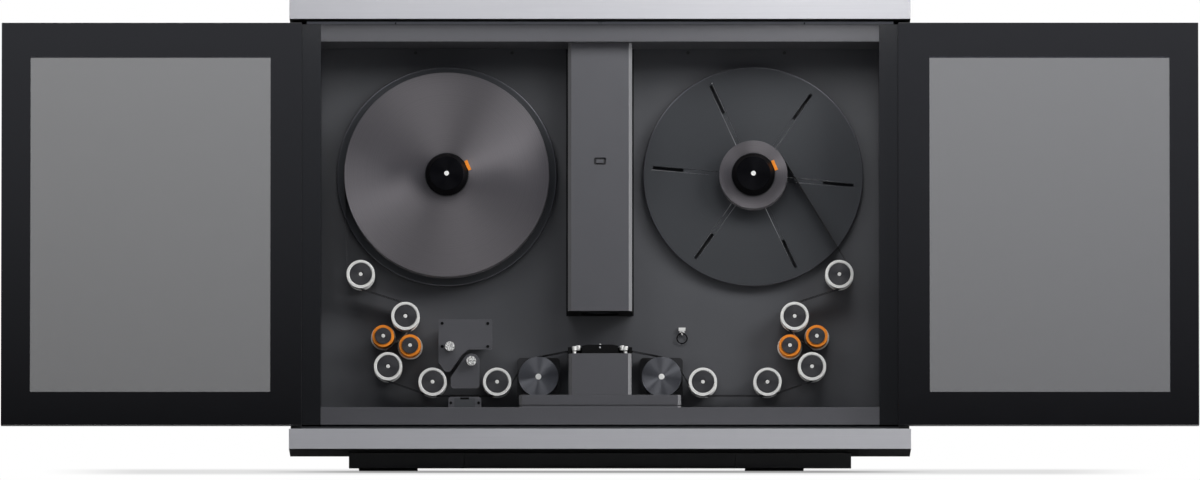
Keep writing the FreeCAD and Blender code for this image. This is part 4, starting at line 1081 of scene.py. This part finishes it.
class SCANNER_OT_reader(Operator):
    """Adds the reader with its sliding arm and thumbscrews"""
    bl_idname = "scanner.reader"
    bl_label = "Reader"

    def execute(self, context):
        refit("reader_face", "reader_plate", 0.4, *GREY)
        refit("reader_lower_arm", "reader_arm", 0.4, *GREY, "reader_arm")
        for node in ("reader_knob_upper", "reader_knob_lower"):
            centre = middle(node)
            knob = turn(node + "_head", centre, THUMBSCREW, context.scene.scanner_sizes.knurls, 0)
            edit(knob)
            choose(knob, "FACE", lambda c, normal: abs(normal.y) < 0.1 and c.y < depth(87))
            bpy.ops.mesh.inset(thickness=0.08 * MM, depth=-0.35 * MM, use_individual=True)
            done()
            place(soften(knob, 0.15), node, "bright_steel", "knurled_steel", node)
        screws("reader_screw", READER_SCREWS, 2.6, 90)
        return {"FINISHED"}


class SCANNER_OT_details(Operator):
    """Adds the connector panel, the deck screws and the hanging ring"""
    bl_idname = "scanner.details"
    bl_label = "Panel, screws and ring"

    def execute(self, context):
        self.make_panel()
        screws("deck_screw", DECK_SCREWS, 3, 150, "motor_enamel")
        centre = middle("hanging_ring")
        wire = [(8.6 + math.cos(a), 146.5 + math.sin(a))
                for a in (2 * math.pi * i / 16 for i in range(17))]
        place(turn("split_ring", centre, wire, 64, 0), "hanging_ring", "black_plastic",
              "black_oxide_steel", "hanging_ring")
        self.make_peg(centre.x, centre.z / MM + 8.6)
        return {"FINISHED"}

    def make_panel(self):
        """A block with two rounded upper corners, a recess and a notch drawn as dark plates of
        painted shade, and two screws
        """
        low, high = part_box("connector_panel")
        top = PANEL_TOP * MM
        panel = slab("connector_block", (low.x, depth(92), low.z), (high.x, high.y, top))
        edit(panel)
        for edge in (low.x, high.x):
            chamfer(panel, 5, lambda v: v.z > top - NEAR and abs(v.x - edge) < NEAR, 4)
        done()
        place(soften(panel, 0.6), "cabinet", *GREY, "connector_panel")
        # The recess and the notch are flat dark plates: painted shade of hollows
        for name, left, right, base, ceiling, front, material in (
                ("connector_recess", -249.2, -213.7, 104.4, 125.6, 91.8, "black_anodised_track"),
                ("connector_notch", -239.0, -224.2, 123.6, 127.0, 91.6, "black_oxide_steel")):
            face = slab(name, (left * MM, depth(front), base * MM),
                        (right * MM, depth(92.5), ceiling * MM))
            place(face, "cabinet", "black_paint", material)
        screws("panel_screw", PANEL_SCREWS, 2.4, 91.3)

    def make_peg(self, x, eye):
        """A flat peg with a tongue, and an eye for the ring drawn as a dark disc of painted shade
        """
        peg = slab("ring_peg", (x - 5.9 * MM, depth(144), (eye + 4.6) * MM),
                   (x + 5.9 * MM, depth(151), (eye + 10) * MM), 0.5)
        place(peg, "cabinet", *BRIGHT, "front_fasteners")
        outline = [(x + across * MM, depth(143.8), (eye + up) * MM) for across, up in PEG_TONGUE]
        tongue = soften(cut_out("peg_tongue", outline, (0, 1.4 * MM, 0)), 0.2)
        place(tongue, "cabinet", "bright_steel", "knurled_steel", "front_fasteners")
        # The eye is a dark disc: painted shade of a hole
        eye_shade = turn("peg_hole", (x, (eye + 1.6) * MM), PEG_EYE_SHADE, 24, 0)
        place(eye_shade, "cabinet", *DARK, "front_fasteners")


class SCANNER_OT_electronics(Operator):
    """Finishes the boards and the power supply behind the deck"""
    bl_idname = "scanner.electronics"
    bl_label = "Electronics"

    def execute(self, context):
        paint_node("main_board", "solder_mask")
        paint_node("power_supply", "zinc_plated_steel")
        return {"FINISHED"}


STEPS = (SCANNER_OT_stage, SCANNER_OT_bars, SCANNER_OT_surround, SCANNER_OT_deck, SCANNER_OT_stand,
         SCANNER_OT_doors, SCANNER_OT_reels, SCANNER_OT_rollers, SCANNER_OT_capstans,
         SCANNER_OT_film, SCANNER_OT_column, SCANNER_OT_light, SCANNER_OT_reader,
         SCANNER_OT_details, SCANNER_OT_electronics)


class SCANNER_PT_panel(Panel):
    """Lists the steps that build the scanner, with its sizes and colours"""
    bl_label = "Film scanner"
    bl_idname = "SCANNER_PT_panel"
    bl_space_type = "VIEW_3D"
    bl_region_type = "UI"
    bl_category = "Film scanner"

    def draw(self, context):
        layout = self.layout
        for step in STEPS:
            layout.operator(step.bl_idname)
        for group in (context.scene.scanner_sizes, context.scene.scanner_colours,
                      context.scene.studio):
            column = layout.column()
            for key in group.__annotations__:
                column.prop(group, key)


CLASSES = (ScannerColours, ScannerSizes, StudioSettings, *STEPS, SCANNER_PT_panel)


def register():
    """Makes the settings, operators and panel known."""
    for item in CLASSES:
        bpy.utils.register_class(item)
    bpy.types.Scene.scanner_colours = PointerProperty(type=ScannerColours)
    bpy.types.Scene.scanner_sizes = PointerProperty(type=ScannerSizes)
    bpy.types.Scene.studio = PointerProperty(type=StudioSettings)


def unregister():
    """Takes them away again."""
    for name in ("scanner_colours", "scanner_sizes", "studio"):
        delattr(bpy.types.Scene, name)
    for item in reversed(CLASSES):
        bpy.utils.unregister_class(item)


def main():
    """Builds everything in order."""
    register()
    for step in STEPS:
        group, name = step.bl_idname.split(".")
        getattr(getattr(bpy.ops, group), name)()


if __name__ == "__main__":
    main()
